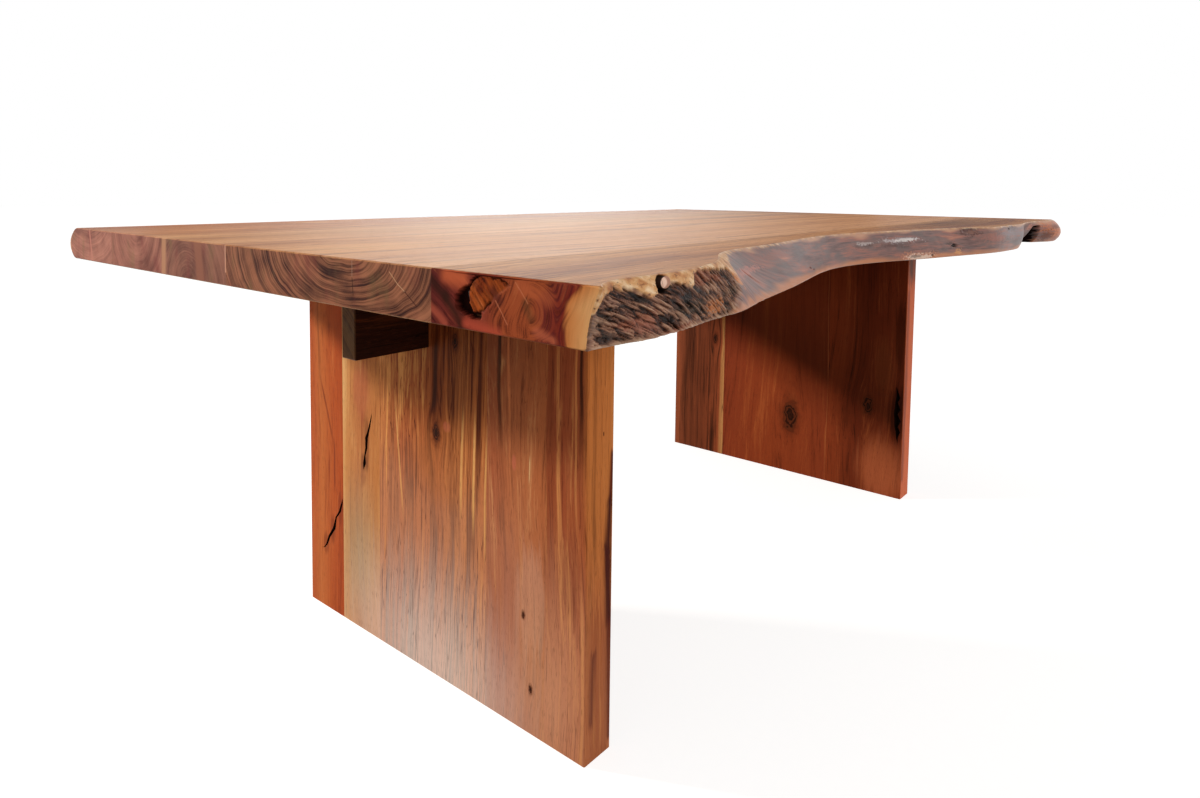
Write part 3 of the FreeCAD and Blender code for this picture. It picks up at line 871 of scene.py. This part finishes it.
def dent(x, lie, spots):
    """Depth of the deepest of the spots at a place. They lie along the fissures."""
    deepest = 0.0
    for at, height, half_length, half_height, depth in spots:
        a = (x - at) / half_length
        b = (lie - height - bark_lie(at)) / half_height
        if abs(a) <= 1.6 and abs(b) <= 1.6:
            within = 1 - math.hypot(a, b) + 0.35 * ripple(x * 130, lie * 320, at)
            deepest = max(deepest, depth * smoothstep(0.0, 0.55, within))
    return deepest


def fissures(x, lie, coarse, fine, seed):
    """Narrow cuts between ridges that lie along the bark, from 0 to 1."""
    wave = ripple(x * coarse, lie * fine, seed)
    return (1 - min(abs(wave) * 3.4, 1.0)) ** 2


def plates(x, lie, coarse, fine, seed):
    """Bark plates that lie along the fissures: how near their gaps are, and each plate's height."""
    wobble = ripple(x * 55, lie * 120, seed)
    spots, centres = noise.voronoi(Vector((x * coarse + 0.3 * wobble, lie * fine + 0.4 * wobble, seed)))
    gap = 1 - smoothstep(0.02, 0.32, spots[1] - spots[0])
    return gap, 0.5 + 0.8 * noise.noise(centres[0] * 7.3)


def carve_live_edge(x, z, y):
    lie = z + bark_lie(x)
    level = (z - live.low.z) / (live.high.z - live.low.z)
    bark_end = mix(BARK_END_LOW, BARK_END_HIGH, level)
    bark = 1 - smoothstep(-22 * MM, 12 * MM, x - bark_end + 12 * MM * ripple(x * 40, z * 60, 5.0))
    reach = along_line(SAP_BAND, x) + (1.5 * ripple(x * 90, z * 30, 2.0)
                                       + 3.0 * ripple(x * 120, lie * 260, 12.0)) * MM
    sap = 1 - smoothstep(reach - 2.5 * MM, reach + 2.0 * MM, live.high.z - z)
    rough = bark * (1 - sap)

    gap, plate = plates(x, lie, 26, 150, 3.0)
    small_gap, small_plate = plates(x, lie, 60, 360, 7.0)
    flush = mix(0.15, 1.0, smoothstep(0.0, 16 * MM, x - live.low.x))
    edging = mix(0.45, 1.0, smoothstep(0.0, 5 * MM, z - live.low.z))
    relief = (0.3 + 1.6 * wave_share(x * 17, lie * 70, 9.0) + 2.0 * gap + 1.8 * plate
              + 1.3 * small_gap + 0.9 * small_plate + 1.0 * fissures(x, lie, 30, 260, 5.0)
              + 0.3 * wave_share(x * 300, lie * 700, 1.0))
    cut = rough * flush * edging * relief * MM
    cut = max(cut, rough * dent(x, lie, PITS))

    calm = 1 - rough
    steep = smoothstep(-0.76, -0.70, x) * (1 - smoothstep(-0.62, -0.50, x))
    cut += calm * (0.9 * wave_share(x * 7, z * 22, 4.0)
                   + 0.9 * steep * wave_share(x * 26, lie * 330, 6.0)
                   + 0.35 * wave_share(x * 22, lie * 160, 8.0)) * MM
    mark = dent(x, lie, DENTS) * (1 - bark)
    cut += mark

    # the dark cave under a thin roof, before the far knob
    cave_start = mix(CAVE_START_LOW, CAVE_START_HIGH, level)
    cave = smoothstep(cave_start, cave_start + 0.02, x) * (1 - smoothstep(
        CAVE_END - 6 * MM, CAVE_END, x + 5 * MM * ripple(z * 90, 3.0)))
    cave *= 1 - smoothstep(CAVE_ROOF - 5 * MM, CAVE_ROOF, z + 2 * MM * ripple(x * 60, 8.0))
    cut += cave * CAVE_DEPTH
    cut += NOSE_CUT * smoothstep(NOSE_START, live.high.x, x) * max(1 - (2 * level - 1) ** 2, 0.0)

    # the hollow round the dead branch
    off = math.hypot((x - STUB_X - HOLLOW_SHIFT) / HOLLOW_HALF_WIDTH,
                     (z - STUB_Z + HOLLOW_DROP) / HOLLOW_HALF_HEIGHT)
    hollow = 1 - smoothstep(0.84, 1.04, off + 0.05 * ripple(x * 400, z * 400))
    cut = mix(cut, max(stub_low.y + HOLLOW_DEPTH - y, cut), hollow)

    # the deep mask goes near-black in the skin: partly dark bark, partly painted shade in fissures, dents,
    # the cave and the hollow
    cave_dark = smoothstep(0.06, 0.22, cave)
    deep = max(rough * smoothstep(4.4 * MM, 6.6 * MM, cut), hollow, cave_dark,
               smoothstep(1.2 * MM, 3.5 * MM, mark))
    sunk = rough * max(smoothstep(1.5 * MM, 6.0 * MM, cut), 0.8 * (1 - flush))
    return cut, {"bark": bark, "sap": sap, "deep": deep, "sunk": sunk, "lie": lie,
                 "hollow": max(hollow, cave_dark)}


# an ingrown knot on the near end: its outline, and the hollow beside it
KNOT = [Vector(corner) for corner in metres((-474, 751), (-486, 757), (-512, 757), (-527, 751),
                                            (-505, 738), (-491, 724), (-477, 718), (-471, 729),
                                            (-470, 738))]
KNOT_HOLLOW_HEIGHT, KNOT_HOLLOW_HALF, KNOT_HOLLOW_WIDTH, KNOT_HOLLOW_DEPTH = metres(730, 18, 20, 9)
SWIRL = Vector((-0.551, 0.729))      # the middle of the rings between the knot and the bark
FLOW = Vector((0.56, -0.83))         # across the bands between the knot and the seam
GROOVES = Vector((-0.67, -0.74))     # along the grooves in the knot


def carve_live_end(y, z, depth, near):
    """The sawn end of the live edge board. ring: a value that runs across its growth rings."""
    wave = 2.5 * MM * ripple(y * 30, z * 45, 2.0)
    by_bark = depth + 4 * MM * math.sin((z - 0.731) * 95) * smoothstep(0.0, 30 * MM, depth) + wave
    if not near:
        return 0.0, {"ring": by_bark}
    point = Vector((y, z))
    off = (point - SWIRL).length
    ring = mix(off * 0.9 + wave, by_bark, smoothstep(22 * MM, 40 * MM, off + 60 * MM * (y > SWIRL.x)))
    ring = mix(ring, point.dot(FLOW) + wave, smoothstep(-0.500, -0.470, y))
    gap = from_outline(point, KNOT) + (1.8 * ripple(y * 110, z * 110, 3.0)
                                       + 1.0 * ripple(y * 340, z * 340, 5.0)) * MM
    block = 1 - smoothstep(-1 * MM, 1 * MM, gap)
    lengthwise, sideways = point.dot(GROOVES), point.dot(GROOVES.orthogonal())
    level = (z - KNOT_HOLLOW_HEIGHT) / KNOT_HOLLOW_HALF
    width = KNOT_HOLLOW_WIDTH * max(1 - level ** 2, 0.0) * (1 + 0.3 * ripple(y * 150, z * 150, 8.0))
    hollow = smoothstep(-0.5 * MM, 1.0 * MM, gap) * (1 - smoothstep(0.82, 1.0, gap / (width + MM)))
    hollow *= smoothstep(-0.492, -0.478, y)
    seam_gap = 1 - smoothstep(0.4 * MM, 1.7 * MM, abs(gap))
    seam_gap *= smoothstep(-0.35, 0.15, ripple(y * 60, z * 60, 6.0))
    groove = block * (1 - smoothstep(0.0, 0.22, abs(ripple(sideways * 190, lengthwise * 30, 4.0))))
    cut = max(KNOT_HOLLOW_DEPTH * hollow, 2.2 * MM * seam_gap, (0.5 + 0.8 * groove) * MM * block)
    pit = max(smoothstep(0.25, 0.6, hollow), 0.9 * seam_gap, 0.45 * groove)
    return cut, {"ring": mix(ring, sideways, block), "block": block, "pit": pit}


# marks on the near end: from, to, half width, share, colour
LIVE_END_MARKS = (((-413, 750), (-438, 731), 10, 0.85, (48, 22, 16)),
                  ((-438, 731), (-466, 702), 11, 0.85, (52, 26, 18)),
                  ((-412, 722), (-436, 704), 8, 0.6, (184, 88, 66)),
                  ((-440, 756), (-460, 752), 18, 0.8, (206, 100, 62)),
                  ((-470, 709), (-510, 703), 11, 0.7, (190, 80, 58)),
                  ((-505, 744), (-512, 735), 10, 0.7, (70, 28, 26)),
                  ((-548, 737), (-553, 724), 9, 0.6, (96, 60, 36)),
                  ((-560, 712), (-580, 706), 8, 0.5, (204, 108, 76)),
                  ((-540, 752), (-575, 742), 12, 0.4, (196, 100, 62)),
                  ((-508, 735), (-524, 714), 1.3, 0.5, (214, 126, 90)),
                  ((-534, 755), (-550, 737), 1.2, 0.45, (214, 130, 90)),
                  ((-474, 716.5), (-486, 717.5), 1.2, 0.9, (236, 158, 108)))
# a painted highlight in the knot's hollow
GLINT = metres((-462.5, 738.5), (-464.5, 731.0), 1.6)     # a pale line in the knot's hollow
LIVE_BOARD_GLOSS = 0.012


def live_end_wood(name):
    """The sawn faces of the live edge board: sapwood at the bark, then red and purple heartwood."""
    g = Graph(name)
    low, high = (corner.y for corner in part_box("top_board_5"))
    top_colour, roughness, relief = wood_colour(
        g, "x", low, high,
        across=((0.0, (204, 144, 90)), (0.12, (186, 126, 76)), (0.5, (172, 110, 64)), (1.0, (198, 138, 86))),
        dark=(122, 66, 38), light=TOP_LIGHT, pith=(-500, 700), taper=0.05, wander=1.7, seed=41, bands=0.9,
        flames=0.7,
        # the first patch is painted shade: the top's far front darker, where it shows less sheen
        patches=((550, -490, 560, 125, 1.0, (58, 22, 10)), (-830, -500, 150, 30, 0.4, (150, 90, 56))))
    _, y, z = g.place()
    ring = g.mask("ring")
    arcs = g.centred((ring * 150, y * 20, z * 20), 3.8)
    fine = g.centred((ring * 480, y * 30, z * 30), 4.4)
    grit = g.centred((3, y * 700, z * 700), 1.6)
    cloud = g.centred((0, y * 40, z * 40), 3.0)
    slant = g.smooth(z, 0.738, 0.762, 0.0, 19 * MM)
    inward = (y + slant + cloud * (3 * MM) - low) / (high - low)
    end = g.ramp(inward, ((0.00, (228, 178, 128)), (0.12, (222, 162, 104)), (0.20, (206, 128, 70)),
                          (0.225, (126, 44, 32)), (0.32, (136, 58, 42)), (0.38, (166, 80, 46)),
                          (0.58, (160, 76, 44)), (0.66, (138, 58, 42)), (0.84, (118, 46, 38)),
                          (1.00, (98, 38, 34))))
    knot = g.blend(g.smooth(cloud, -0.9, 0.9), (112, 40, 20), (184, 88, 36))
    end = g.blend(g.mask("block"), end, knot)
    figure = arcs * 0.75 + fine * 0.5 + (cloud * 0.4 + grit * 0.4)
    heart = g.smooth(inward, 0.18, 0.24)
    end = g.blend(g.smooth(figure, 0.1, -1.0) * (heart * 0.63 + 0.25), end,
                  g.blend(heart, (150, 84, 46), (60, 20, 16)))
    wave = g.math("SINE", ring * 1150 + arcs * 0.9)
    wavy = heart * g.smooth(inward, 0.30, 0.42, 0.65, 0.0)
    end = g.blend(g.smooth(wave, -0.1, 0.9) * wavy, end, (80, 24, 30))
    end = g.blend(g.smooth(figure, 0.1, 1.4, 0.0, 0.45), end, (204, 118, 70))
    for *place, share, mark_colour in LIVE_END_MARKS:
        begin, finish, half = metres(*place)
        mark = g.stroke(y + cloud * (half * 0.16 + 0.6 * MM), z + arcs * (half * 0.14 + 0.4 * MM),
                        begin, finish, half, core=0.0)
        end = g.blend(mark * share, end, mark_colour)
    # near-black in the knot's hollow, the gap round it and its grooves: painted shade
    end = g.blend(g.mask("pit") * 0.94, end, (20, 9, 6))
    end = g.blend(g.stroke(y, z, *GLINT) * 0.6, end, (150, 148, 144))

    # the top and the underside keep the wood's own colour
    half = (live.high.z - live.low.z) / 2
    off = abs(z - (live.high.z + live.low.z) / 2)
    colour = g.blend(g.smooth(off, half - 0.5 * MM, half - 0.2 * MM), end, top_colour)
    return g.surface(colour, roughness, relief, 0.12 * MM, Specular_IOR_Level=LIVE_BOARD_GLOSS)


def carve_back_edge(x, z, y):
    cut = 1.2 * wave_share(x * 6, z * 20, 14.0) + 0.4 * wave_share(x * 16, z * 150, 15.0)
    return cut * MM, {"sap": 0.5, "lie": z}


# ---- boards of the top ----

TOP_LIGHT = (218, 162, 112)
# along, across, half length, half width, share and colour of what runs over several boards
# painted shade: the top's far end darker, where it shows less sheen
FAR_SHADE = (1060, 250, 170, 420, 0.7, (104, 56, 34))
# painted shade: the top's near back corner darker, where it shows less sheen
NEAR_SHADE = (-1060, 560, 180, 160, 0.6, (104, 58, 36))
NEAR_STREAK = (-1020, -5, 150, 42, 0.8, (150, 88, 50))
NEAR_PALE = (-970, -150, 170, 90, 0.6, (236, 172, 104))

top_boards = {
    "top_board_1": dict(
        across=((0.0, (174, 116, 78)), (0.5, (172, 110, 70)), (1.0, (168, 104, 68))),
        dark=(124, 70, 42), pith=(545, 905), ring=6, seed=3.1, flames=0.5, end_rings=0.38,
        end_dark=(98, 54, 44), end_light=(176, 118, 100),
        patches=(FAR_SHADE, NEAR_SHADE),
        end_marks=(((636, 714), (642, 732), 8, (176, 128, 96)),
                   ((642, 732), (634, 752), 8, (176, 128, 96)),
                   ((539, 762), (527, 700), 4, (172, 112, 96)))),
    "top_board_2": dict(
        across=((0.0, (204, 152, 104)), (0.12, (192, 136, 92)), (0.5, (182, 122, 80)),
                (1.0, (174, 112, 74))),
        dark=(130, 78, 48), pith=(328, 757), ring=9, seed=11.7, flames=0.5, end_rings=0.34,
        end_dark=(98, 52, 42), end_light=(170, 112, 94),
        patches=(FAR_SHADE, NEAR_SHADE),
        end_marks=(((222, 762), (226, 700), 10, (178, 128, 96)),)),
    "top_board_3": dict(
        across=((0.0, (190, 130, 84)), (0.5, (196, 138, 90)), (1.0, (188, 132, 86))),
        dark=(134, 80, 50), pith=(135, 655), ring=7, seed=23.3, flames=0.5, end_rings=0.36,
        end_dark=(82, 42, 36), end_light=(158, 106, 86),
        patches=(FAR_SHADE, NEAR_STREAK),
        end_marks=(((23.5, 765), (23.5, 722), 2.2, (204, 150, 124)),
                   ((110, 765), (98, 695), 17, (142, 90, 70)))),
    "top_board_4": dict(
        across=((0.0, (208, 148, 98)), (0.3, (198, 134, 84)), (0.6, (204, 142, 90)),
                (1.0, (198, 136, 84))),
        dark=(146, 86, 48), pith=(-277, 757), ring=8, flatness=1.9, wander=1.3, seed=31.9, bands=0.85,
        flames=0.7, end_dark=(46, 18, 16), end_light=(172, 110, 80),
        patches=(NEAR_STREAK, NEAR_PALE),
        end_marks=(((-346, 750), (-360, 738), 0.9, (190, 142, 106)),
                   ((-360, 738), (-372, 731), 0.7, (200, 156, 120)),
                   ((-372, 731), (-392, 717), 0.8, (58, 24, 18)),
                   ((-277, 758), (-277, 740), 0.6, (176, 136, 116)),
                   ((-277, 738), (-279, 718), 0.8, DARK))),
}


# ---- boards of the legs ----

# what runs over several boards, as for the top
# painted shade over the leg's upper part, under the top and the beam
UPPER_SHADE = (660, -100, 250, 270, 1.0, (70, 22, 4))
# painted light on the middle of the near leg
MID_PAINTED_LIGHT = (240, -20, 190, 330, 0.62, (216, 156, 122))
# painted reflection of the floor: a pale veil low on the near leg
FOOT_PAINTED_REFLECTION = (0, -20, 235, 310, 1.0, (250, 228, 214))
# along, half width of its border, slope, share and colour of the painted shadow that the top casts on the
# far leg
FAR_LEG_SHADE = (355, 30, 0.49, 0.62, (46, 14, 5))
FAR_LEG_FRONT_SHADE = (355, 30, 0.49, 0.42, (46, 14, 5))

near_leg_boards = {
    "near_leg_board_1": dict(
        across=((0.0, (170, 72, 34)), (0.45, (180, 86, 42)), (0.8, (190, 106, 56)), (1.0, (182, 90, 48))),
        dark=(126, 50, 24), light=(200, 116, 64), pith=(420, -500), bands=0.5, rings=0.25, streaks=0.55,
        threads=0.25, seed=2.2,
        patches=((215, 253, 32, 9, 0.7, (112, 46, 24)), (165, 278, 30, 9, 0.8, (104, 42, 22)),
                 (130, 302, 26, 11, 0.8, (112, 46, 24))),
        lines=((333, 4, 420, 740, 0.0, (150, 80, 42)), (187.5, 4, 320, 480, -0.31, (140, 66, 34)),
               (290, 4, 230, 360, 0.0, (134, 60, 34)))),
    "near_leg_board_2": dict(
        across=((0.0, (192, 122, 68)), (0.5, (188, 118, 70)), (0.85, (202, 138, 82)),
                (1.0, (224, 174, 114))),
        dark=(134, 68, 38), light=(224, 168, 108), pith=(165, -600), taper=0.06, bands=0.75, streaks=0.5,
        threads=0.3, seed=7.4,
        # the broad grey patch low down is partly the wood's own grey-olive, partly a painted reflection
        patches=((460, 185, 60, 26, 0.8, (176, 92, 64)), (300, 176, 26, 9, 0.8, (150, 84, 54)),
                 (365, 166, 60, 8, 0.85, (112, 60, 34)), (325, 173, 20, 11, 0.8, (104, 52, 30)),
                 (140, 190, 190, 80, 1.0, (176, 156, 122)), FOOT_PAINTED_REFLECTION)),
    "near_leg_board_3": dict(
        across=((0.0, (190, 110, 60)), (0.25, (196, 120, 68)), (0.45, (168, 90, 48)),
                (0.62, (182, 102, 56)), (0.8, (172, 92, 52)), (1.0, (192, 118, 68))),
        dark=(80, 30, 12), light=(230, 162, 94), pith=(100, -300), bands=0.6, rings=0.4, streaks=1.0,
        threads=0.8, flames=0.5, seed=15.8, knots=((427, -30, 10), (590, -77, 8)),
        patches=((250, 90, 115, 62, 0.75, (190, 116, 74)), MID_PAINTED_LIGHT,
                 (380, -50, 80, 80, 0.6, (190, 112, 58)), UPPER_SHADE, FOOT_PAINTED_REFLECTION,
                 (442, -56, 10, 10, 0.9, (206, 112, 80))),
        lines=((-22, 8, 440, 620, 0.0, (50, 20, 8)), (37, 3, 240, 500, -0.11, (226, 164, 100)),
               (-92, 4, 280, 500, 0.0, (232, 172, 104)), (-122, 4, 260, 500, 0.0, (232, 172, 104)),
               (-150, 3, 220, 480, 0.0, (226, 166, 100)))),
    "near_leg_board_4": dict(
        across=((0.0, (182, 104, 62)), (0.5, (184, 108, 68)), (0.8, (170, 92, 58)), (1.0, (160, 86, 54))),
        dark=(92, 40, 22), light=(218, 152, 100), pith=(-200, -620), taper=0.07, bands=0.8, rings=0.35,
        streaks=0.5, threads=0.35, wander=1.4, seed=19.5, knots=((184, -233, 3), (71, -249, 3.5)),
        # the two pale patches low by the front edge are a painted reflection, as at the foot
        patches=(MID_PAINTED_LIGHT, UPPER_SHADE, FOOT_PAINTED_REFLECTION, (200, -205, 130, 30, 0.5, (168, 112, 98)),
                 (210, -248, 100, 34, 0.6, (216, 164, 136)), (419, -212, 14, 5, 0.9, (214, 116, 88)),
                 (100, -260, 150, 50, 0.6, (222, 164, 124))),
        lines=((-198, 5, 400, 800, 0.0, (44, 18, 8)), (-215, 3.5, 300, 800, 0.0, (204, 122, 76)),
               (-251, 1.6, 390, 440, 0.0, CREAM))),
    "near_leg_board_5": dict(
        across=((0.0, (206, 128, 62)), (0.08, (196, 116, 60)), (0.22, (172, 92, 54)),
                (0.7, (160, 80, 48)), (1.0, (154, 78, 46))),
        dark=(84, 34, 18), light=(214, 142, 84), side_tint=(0.35, (206, 126, 62)), pith=(-400, -600),
        bands=0.6, rings=0.35, streaks=0.75, threads=0.5, seed=27.1,
        # the broad pale patch low by the front edge is a painted reflection, as at the foot
        patches=(UPPER_SHADE, (60, -290, 290, 110, 1.0, (230, 166, 128)),
                 (270, -325, 80, 26, 0.5, (126, 66, 46))),
        lines=((-336, 4, 440, 800, 0.0, (38, 14, 6)), (-326, 3, 300, 800, 0.0, (212, 136, 80)),
               (-330, 4, -100, 300, 0.0, (214, 144, 94))),
        side_marks=(((-690, 200), (-690, -100), 60, 0.55, (138, 66, 42)),
                    ((-661, 450), (-666, 380), 10, 1.0, (88, 30, 14)),
                    ((-666, 380), (-672, 310), 13, 1.0, (66, 20, 12)),
                    ((-672, 310), (-668, 200), 13, 1.0, (70, 22, 14)),
                    ((-668, 200), (-663, 20), 10, 0.9, (92, 34, 22)),
                    ((-702, 160), (-706, 60), 13, 0.7, (92, 42, 34)),
                    ((-685, 489), (-685, 486), 2.5, 1.0, (60, 18, 8)))),
}
far_leg_boards = {
    "far_leg_board_1": dict(
        across=((0.0, (196, 138, 84)), (0.06, (190, 128, 76)), (0.085, RED_BROWN), (0.5, (112, 56, 34)),
                (0.75, (122, 62, 38)), (1.0, (150, 80, 52))),
        dark=(58, 28, 16), light=(160, 84, 50), pith=(250, 1100), bands=0.5, streaks=0.9, threads=0.5,
        wander=0.35, seed=4.6, knots=((365, 213, 9),)),
    "far_leg_board_2": dict(
        across=((0.0, (142, 62, 34)), (0.5, (150, 66, 34)), (1.0, (140, 60, 34))),
        dark=(84, 32, 16), light=(178, 92, 48), pith=(20, 450), bands=0.6, streaks=0.45, threads=0.35,
        seed=9.9, knots=((170, -39, 23),), shade=FAR_LEG_SHADE,
        lines=((-146, 1.2, -100, 800, 0.0, (170, 96, 56)),)),
    "far_leg_board_3": dict(
        across=((0.0, (138, 60, 34)), (0.5, (116, 48, 26)), (1.0, (150, 66, 34))),
        # its narrow face is painted lighter orange than its wide face: painted light from the front
        dark=(52, 20, 10), light=(176, 92, 50), side_tint=(0.85, (222, 112, 68)), pith=(-280, 420),
        bands=0.8, streaks=0.5, threads=0.35, seed=13.3, knots=((243, -262, 14),),
        shade=FAR_LEG_FRONT_SHADE,
        patches=((70, -300, 110, 70, 0.8, (204, 112, 70)), (225, -337, 90, 24, 1.0, (18, 6, 3)),
                 (440, -340, 110, 14, 0.8, (36, 11, 4)), (360, -300, 90, 26, 0.4, (150, 84, 44))),
        # the first side mark darkens the narrow face's upper end: painted shade under the top
        side_marks=(((690, 760), (690, 620), 60, 0.85, (64, 44, 36)),
                    ((672, 560), (670, 60), 20, 0.7, (112, 44, 26)))),
}


# ---- beam, cleats, dowels and hardware ----

def plain_wood(name, grain, middle, dark, light, seed, **ends):
    return wood(name, gloss=0.05, bump=0.15, grain=grain, low=-0.5, high=0.5, dark=dark, light=light,
                across=((0.0, middle), (1.0, middle)), pith=(300, 300), seed=seed,
                **(ends or {"end_dark": dark, "end_light": light}))


def metal(name, colour, roughness, shade=0.72):
    """shade: the light that is left where its fine grain is darkest."""
    g = Graph(name)
    grain = g.noise(g.add("TexCoord").outputs["Object"], scale=900.0, detail=4.0)
    return g.surface(g.blend(grain, colour, (*colour, shade)), grain * 0.22 + roughness, grain,
                     0.03 * MM, Metallic=1.0)


def dress_boards():
    for name, looks in top_boards.items():
        paint(name, board_wood(name, name, "x", light=TOP_LIGHT, **looks))
    for name, looks in {**near_leg_boards, **far_leg_boards}.items():
        paint(name, board_wood(name, name, "z", **looks))


def dress_rest():
    beam_wood = plain_wood("beam_wood", "x", (42, 18, 9), (18, 7, 4), (88, 44, 22), 5.0,
                           end_dark=(58, 36, 18), end_light=(104, 70, 38))
    cleat_wood = plain_wood("cleat_wood", "y", BROWN, UMBER, HONEY, 8.0)
    beech = plain_wood("dowel_wood", "z", PALE, TAN, CREAM, 2.0)
    steel = metal("zinc_plated_steel", (168, 168, 166), 0.32)
    brass = metal("brass", (186, 148, 84), 0.35)
    for material, names in (
            (beam_wood, ("beam",)), (brass, ("threaded_inserts",)),
            (cleat_wood, ("near_cleat_back", "near_cleat_front", "far_cleat_back", "far_cleat_front")),
            (beech, ("top_dowels", "near_leg_dowels", "far_leg_dowels", "beam_dowels")),
            (steel, ("beam_screws", "beam_washers", "cleat_screws", "cleat_bolts", "cleat_washers"))):
        for name in names:
            paint(name, material)


# ---- the dead branch's stub ----

STUB_TILT = math.radians(14)         # its face looks a little towards the near end
STUB_CROWN = 0.8 * MM
STUB_LEAN = 4.5 * MM                 # how far its face has moved from over its root
STUB_SIDES = 64


def stub_material():
    """Pale sanded end grain with fine checks, and near-black sides: painted shade, coloured as dark bark."""
    g = Graph("branch_stub")
    x, y, z = g.place()
    x, z = x - STUB_X, z - STUB_Z
    away = g.length(x, z)
    soft = g.centred((x * 160, z * 160, 1), 3.0)
    rings = g.math("SINE", away * 5200 + soft * 1.6)
    face = g.blend(g.smooth(rings + soft, -1.5, 1.5), (238, 186, 162), (255, 226, 206))
    face = g.blend(g.smooth(away, 4.6 * MM, 6.4 * MM, 0.0, 0.75), face, (150, 92, 66))
    face = g.blend(g.stroke(x, z, *metres((-1, 3), (1, -4), 0.35)) * 0.6, face, UMBER)
    # the near-black sides are painted shade
    side = g.smooth(g.facing()[1], -0.75, -0.45)
    bark_and_shade = g.blend(g.noise((x * 500, y * 120, z)), BLACK, (70, 40, 26))
    return g.surface(g.blend(side, face, bark_and_shade), side * 0.2 + 0.45, soft, 0.05 * MM,
                     Specular_IOR_Level=0.2)


def make_stub():
    """A turned stub: crowned and tilted at its face, straight along its sides."""
    radius = (stub_high.x - stub_low.x) / 2
    profile = [(share * radius, STUB_CROWN * share ** 2) for share in (0.2, 0.4, 0.6, 0.75, 0.88)]
    profile += [(radius * 0.96, STUB_CROWN * 1.15), (radius, STUB_CROWN * 1.9)]
    points, faces = [(STUB_X + STUB_LEAN, stub_low.y, STUB_Z)], []
    for r, sink in profile + [(radius, None)]:
        for k in range(STUB_SIDES):
            turn = 2 * math.pi * k / STUB_SIDES
            oval = min(1 + 0.03 * math.sin(2 * turn + 0.6), 1.0)
            x, z = math.cos(turn) * r * oval, math.sin(turn) * r * oval
            if sink is None:
                points.append((STUB_X + x, stub_high.y, STUB_Z + z))
            else:
                y = stub_low.y - math.tan(STUB_TILT) * x + sink
                points.append((STUB_X + STUB_LEAN + x, y, STUB_Z + z))
    for k in range(STUB_SIDES):
        after = (k + 1) % STUB_SIDES
        faces.append((0, 1 + k, 1 + after))
        for ring in range(len(profile)):
            a, b = 1 + ring * STUB_SIDES + k, 1 + ring * STUB_SIDES + after
            faces.append((a, a + STUB_SIDES, b + STUB_SIDES, b))
    faces.append(tuple(range(len(points) - STUB_SIDES, len(points))))
    piece = build("branch_stub", points, faces, stub_material())
    tidy_normals(piece.data, 60)
    stand_in(piece, "edge_stub")


# ---- splits and a bark pocket in the leg boards ----

# name: node, slot, depth, and the (across, height, half width) of its points
SPLITS = {
    "split_board": ("near_leg_board_1", "near_leg_wood", 9, (
        (244.5, 236, 0.3), (247, 226, 2.4), (254, 208, 3.2), (267, 192, 2.2), (274, 168, 4.2),
        (290, 148, 3.4), (300, 128, 2.6), (309, 119, 1.6), (318, 117, 0.2))),
    "slit_board": ("near_leg_board_2", "near_leg_wood", 7, (
        (150, 424, 0.2), (152, 414, 1.5), (158, 394, 2.4), (166, 374, 4), (167, 354, 3.2), (172, 338, 2),
        (173, 324, 4.4), (176, 310, 0.2))),
    "bark_pocket_board": ("far_leg_board_3", "far_leg_wood", 8, (
        (-335, 308, 0.2), (-338, 294, 2.4), (-341, 278, 5.2), (-337, 264, 3.4), (-340, 246, 7.4),
        (-336, 232, 5), (-341, 214, 8), (-338, 198, 4.6), (-343, 184, 5.8), (-341, 168, 2.2),
        (-344, 150, 0.2))),
}


def cutter(face, depth, path):
    """A long wedge that follows a path over a board's face, whose outside is towards -X."""
    points, faces = [], []
    for y, z, half in path:
        sink = depth * min(half / MM, 1.0)
        points += [(face - MM, y - half * 1.15, z), (face - MM, y + half * 1.15, z), (face + sink, y, z)]
    for i in range(len(path) - 1):
        for k in range(3):
            a, b = 3 * i + k, 3 * i + (k + 1) % 3
            faces.append((a, b, b + 3, a + 3))
    last = len(points) - 3
    faces += [(0, 1, 2), (last, last + 1, last + 2)]
    piece = build("cutter", points, faces, INNER)
    tidy_normals(piece.data)
    return piece


def make_splits():
    for name, (node, slot, *sizes) in SPLITS.items():
        piece = put(name, nodes[node].data.copy())
        tool = cutter(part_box(node)[0].x, *metres(*sizes))
        cut = piece.modifiers.new("crack", "BOOLEAN")
        cut.object, cut.operation, cut.solver = tool, "DIFFERENCE", "EXACT"
        cut.material_mode = "TRANSFER"
        bpy.context.view_layer.update()
        shape = bpy.data.meshes.new_from_object(piece.evaluated_get(
            bpy.context.evaluated_depsgraph_get()))
        piece.modifiers.clear()
        piece.data = shape
        bpy.data.objects.remove(tool)
        stand_in(piece, node)


def make_live_board():
    columns = (places(live.low.x + END_ARRIS, BARK_FINE_END, FINE_STEP)
               + places(BARK_FINE_END, live.high.x - END_ARRIS, STEP))
    sculpted_board("live_board", "top_board_5", live, columns, carve_live_edge,
                   natural_skin("live_edge_skin", patches=LIVE_PATCHES),
                   live_end_wood("live_board_sawn"), carve_live_end)


def make_back_board():
    back = NaturalEdge("top_board_1", 1)
    columns = places(back.low.x + END_ARRIS, back.high.x - END_ARRIS, BACK_STEP)
    sawn = board_wood("back_board_sawn", "top_board_1", "x", light=TOP_LIGHT,
                      **top_boards["top_board_1"])
    sculpted_board("back_board", "top_board_1", back, columns, carve_back_edge,
                   natural_skin("back_edge_skin", specks=0.2), sawn)


dress_boards()
dress_rest()
make_live_board()
make_back_board()
make_stub()
make_splits()
